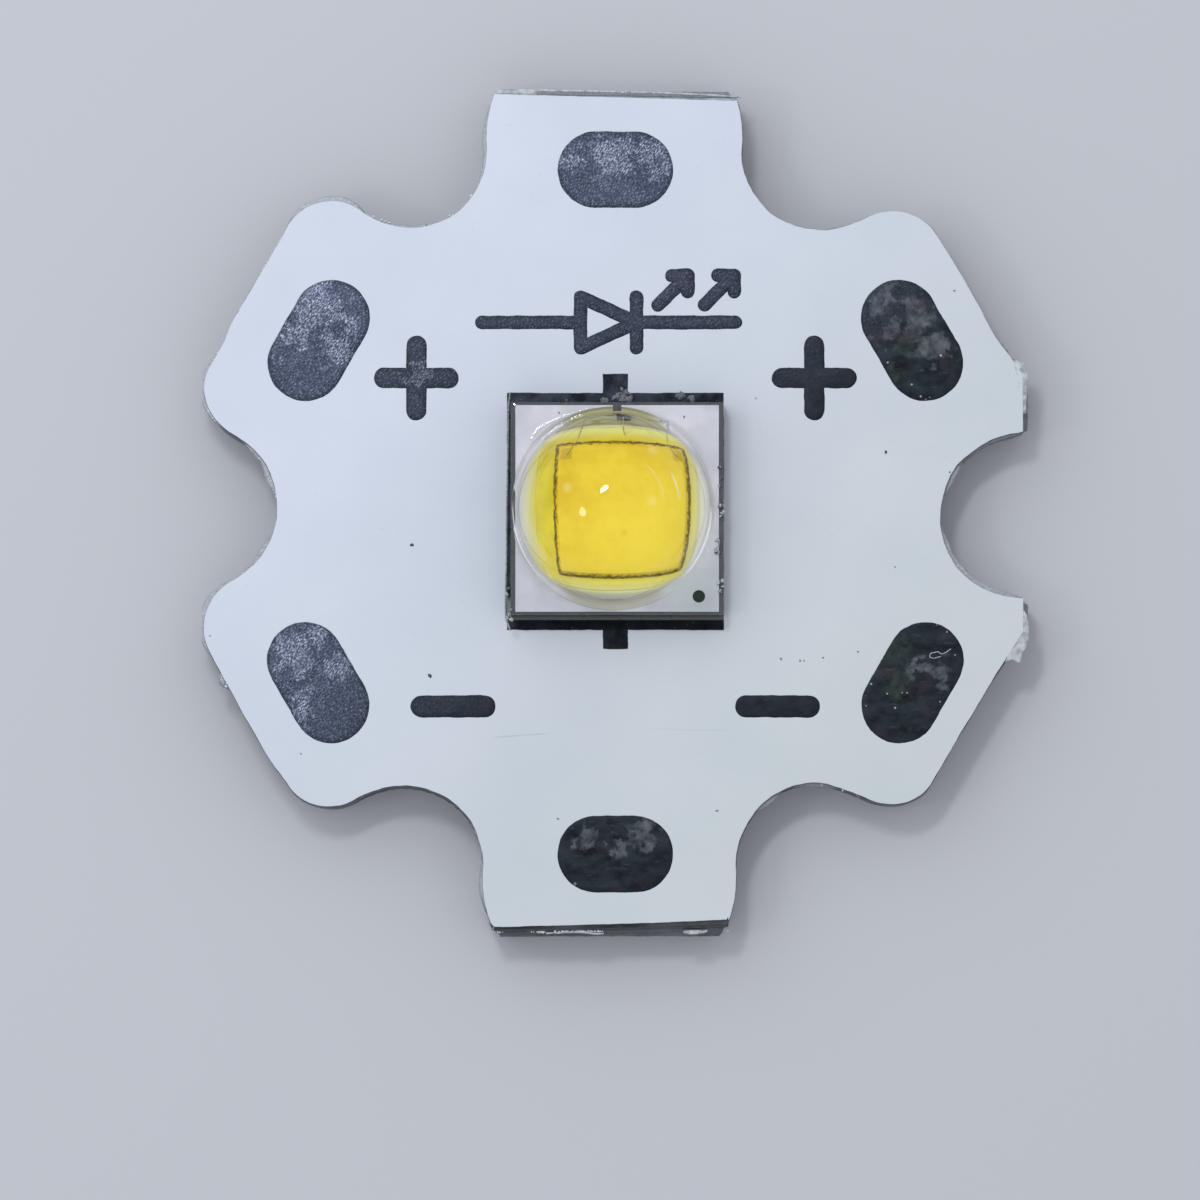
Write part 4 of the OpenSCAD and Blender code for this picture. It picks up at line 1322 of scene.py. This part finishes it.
def burrs():
    """Torn tongues and threads left at the snapped edges."""
    flap("tip_burr_lower", 1.655, 1.62, (1024, 610), (1027, 615), (1028.8, 626),
         (1028.6, 637), (1029.2, 640), (1025, 649), (1021.7, 654), (1020.4, 662), (1018, 662.6),
         (1012, 659.5), (1005, 662), (1008, 655), (1012, 648), (1017, 640), (1019, 632),
         (1020, 617))
    flap("tip_burr_upper", 1.655, 1.62, (1014, 360), (1018, 357.6), (1021.7, 357.9),
         (1025, 362.5), (1026.4, 367), (1028.5, 376), (1027.8, 382), (1027.3, 395),
         (1026.4, 413), (1021, 413), (1019.5, 397), (1018.5, 382), (1017, 374), (1015, 367))
    flap("top_burr", 1.52, 1.52, (497, 93), (497, 87), (536, 87), (600, 88), (660, 89.5),
         (700, 91.2), (742, 94.2), (742, 96), (700, 93.4), (660, 91.6), (600, 90.2),
         (538, 89.6), (536, 93.6))
    flap("bottom_burr", 1.47, 1.47, (683, 932.8), (683.5, 931), (690, 929.8), (699, 930),
         (705.6, 931), (705.6, 933), (697, 934), (688, 934))
    for name, height, *ways in (
            ("bottom_thread", 1.42, (546, 933), (575, 932), (604, 933.5)),
            ("tip_thread", 1.5, (1023, 602.5), (1026, 603), (1028, 605))):
        thread(name, ways, height, 0.022, BURR, wander=0.012, slot="aluminium")


def flux():
    """Flux left beside the upper tab of the opening."""
    source = random.Random(3)
    spots = []
    for px, py, spread, count in ((624, 396, 8, 16), (622, 401, 8, 8), (604, 401, 3, 4),
                                  (681, 396, 5, 6), (692, 398, 2, 3), (567, 400, 1, 2)):
        for _ in range(count):
            x, y = at(px + source.gauss(0, spread / 2), py + source.gauss(0, spread / 2.5))
            spots.append(((x, y, TIN_TOP + 0.005), source.uniform(0.035, 0.1), 0.45))
    lumps("flux", spots, FLUX)


# Building

def paint(material, slot, *names):
    """CAD nodes that stay as they are, with a material of their own."""
    for name in names:
        carried = frame["nodes"][name]
        carried.data.materials.clear()
        carried.data.materials.append(material)


board_metal()
board_insulation()
lacquer()
for pad in ("anode_wire_pad_left", "anode_wire_pad_top", "anode_wire_pad_right",
            "cathode_wire_pad_left", "cathode_wire_pad_bottom", "cathode_wire_pad_right"):
    tinned(pad, PAD_TIN)
for mark in ("plus_mark_left", "plus_mark_right", "minus_mark_left", "minus_mark_right",
             "diode_symbol"):
    tinned(mark, MARK_TIN)
lens()
phosphor()
bond_wire("bond_wire_left", 0.3, GOLD)
bond_wire("bond_wire_right", -0.04, PALE_GOLD)
bond_wire("esd_wire", 0.0, PALE_GOLD)
flash()
specks("dark_dust", DARK_DUST, DIRT)
specks("faint_dust", FAINT_DUST, FAINT_DIRT)
crumbs()
burrs()
# A thin thread of silicone along the ceramic's left side
thread("silicone_thread", ((510, 392), (508.5, 405), (508, 450), (507, 500), (506.5, 560),
                           (505.5, 600), (506, 618), (510, 630)),
       BOARD_TOP + 0.02, 0.022, THREAD, slot="silicone")
# A pale fibre on the lower right wire pad
thread("lint", ((941, 656.5), (934, 658.5), (929.5, 657), (931, 653.5), (938, 652), (941, 654),
                (945, 653), (951, 649)),
       BOARD_TOP + 0.01, 0.009, LINT, spacing=0.03, wave=0.015)
flux()
paint(COPPER, "copper", "anode_copper", "thermal_copper", "cathode_copper")
paint(SOLDER, "solder", "anode_solder", "thermal_solder", "cathode_solder")
paint(PLATING, "gold_plate", "anode_contact", "thermal_contact", "cathode_contact",
      "anode_vias", "cathode_vias", "die_attach")
paint(CERAMIC, "ceramic", "ceramic_substrate")
paint(SILVER, "silver", "die_pad_metal")
paint(BOND_SILVER, "silver", "bond_pad_metal")
paint(SILICON, "silicon", "esd_diode")
paint(SILICON, "die", "led_die")


# Stage

def floor():
    bpy.ops.mesh.primitive_plane_add(size=4)
    made = bpy.context.object
    made.name = "floor"
    made.data.materials.append(Look("floor").done(shade(196, 198, 202), 0.8))


def world():
    """Even light all round, and a pale background."""
    made = bpy.data.worlds.new("studio")
    made.use_nodes = True
    bpy.context.scene.world = made
    tree = made.node_tree
    through = 1.0 - node(tree, "LightPath", output="Is Transmission Ray")
    mirrored = node(tree, "LightPath", output="Is Glossy Ray") * through
    seen = node(tree, "LightPath", output="Is Camera Ray")
    lit = node(tree, "Mix", {0: mirrored, 6: (0.66, 0.675, 0.725, 1), 7: (0.26, 0.27, 0.29, 1)},
               2, data_type="RGBA")
    colour = node(tree, "Mix", {0: seen, 6: lit, 7: (0.62, 0.63, 0.65, 1)}, 2,
                  data_type="RGBA")
    tree.links.new(colour.socket, tree.nodes["Background"].inputs["Color"])


def lamp(name, aim, distance, size, power, colour=(1, 1, 1), glossy=True, turn=0.0):
    """An area lamp that looks at the board from a direction, at a distance in millimetres."""
    data = bpy.data.lights.new(name, "AREA")
    data.shape = "ELLIPSE"
    data.size, data.size_y = (s * MM for s in size)
    data.energy = power
    data.color = colour
    made = placed(name, data)
    made.location = Vector(aim).normalized() * distance * MM
    made.rotation_mode = "QUATERNION"
    made.rotation_quaternion = (made.location.to_track_quat("Z", "Y")
                                @ Quaternion((0, 0, 1), math.radians(turn)))
    made.visible_camera = False
    made.visible_glossy = made.visible_transmission = glossy


def camera():
    """A long lens almost straight above, with the board where the photograph has it."""
    data = bpy.data.cameras.new("camera")
    data.lens = 400
    distance = PICTURE_PX / PX_PER_MM / data.sensor_width * data.lens
    made = placed("camera", data)
    x, y = at(PICTURE_PX / 2, PICTURE_PX / 2)
    target = Vector((x, y / math.cos(LEAN), BOARD_TOP)) * MM
    back = Vector((0, -math.sin(LEAN), math.cos(LEAN)))
    made.location = target + back * distance * MM
    made.rotation_euler = (LEAN, 0, 0)
    data.clip_start, data.clip_end = 0.01, 10
    bpy.context.scene.camera = made


floor()
world()
lamp("window", (-0.48, 0.55, 0.78), 125, (140, 140), 0.031, colour=(0.92, 1.0, 1.1),
     glossy=False)
lamp("lamp", (-0.166, 0.335, 0.92), 150, (13, 28), 0.038, turn=-75)
lamp("far_lamp", (-0.575, -0.11, 0.807), 150, (25, 22), 0.009)
camera()

bpy.context.scene.view_settings.view_transform = "Standard"
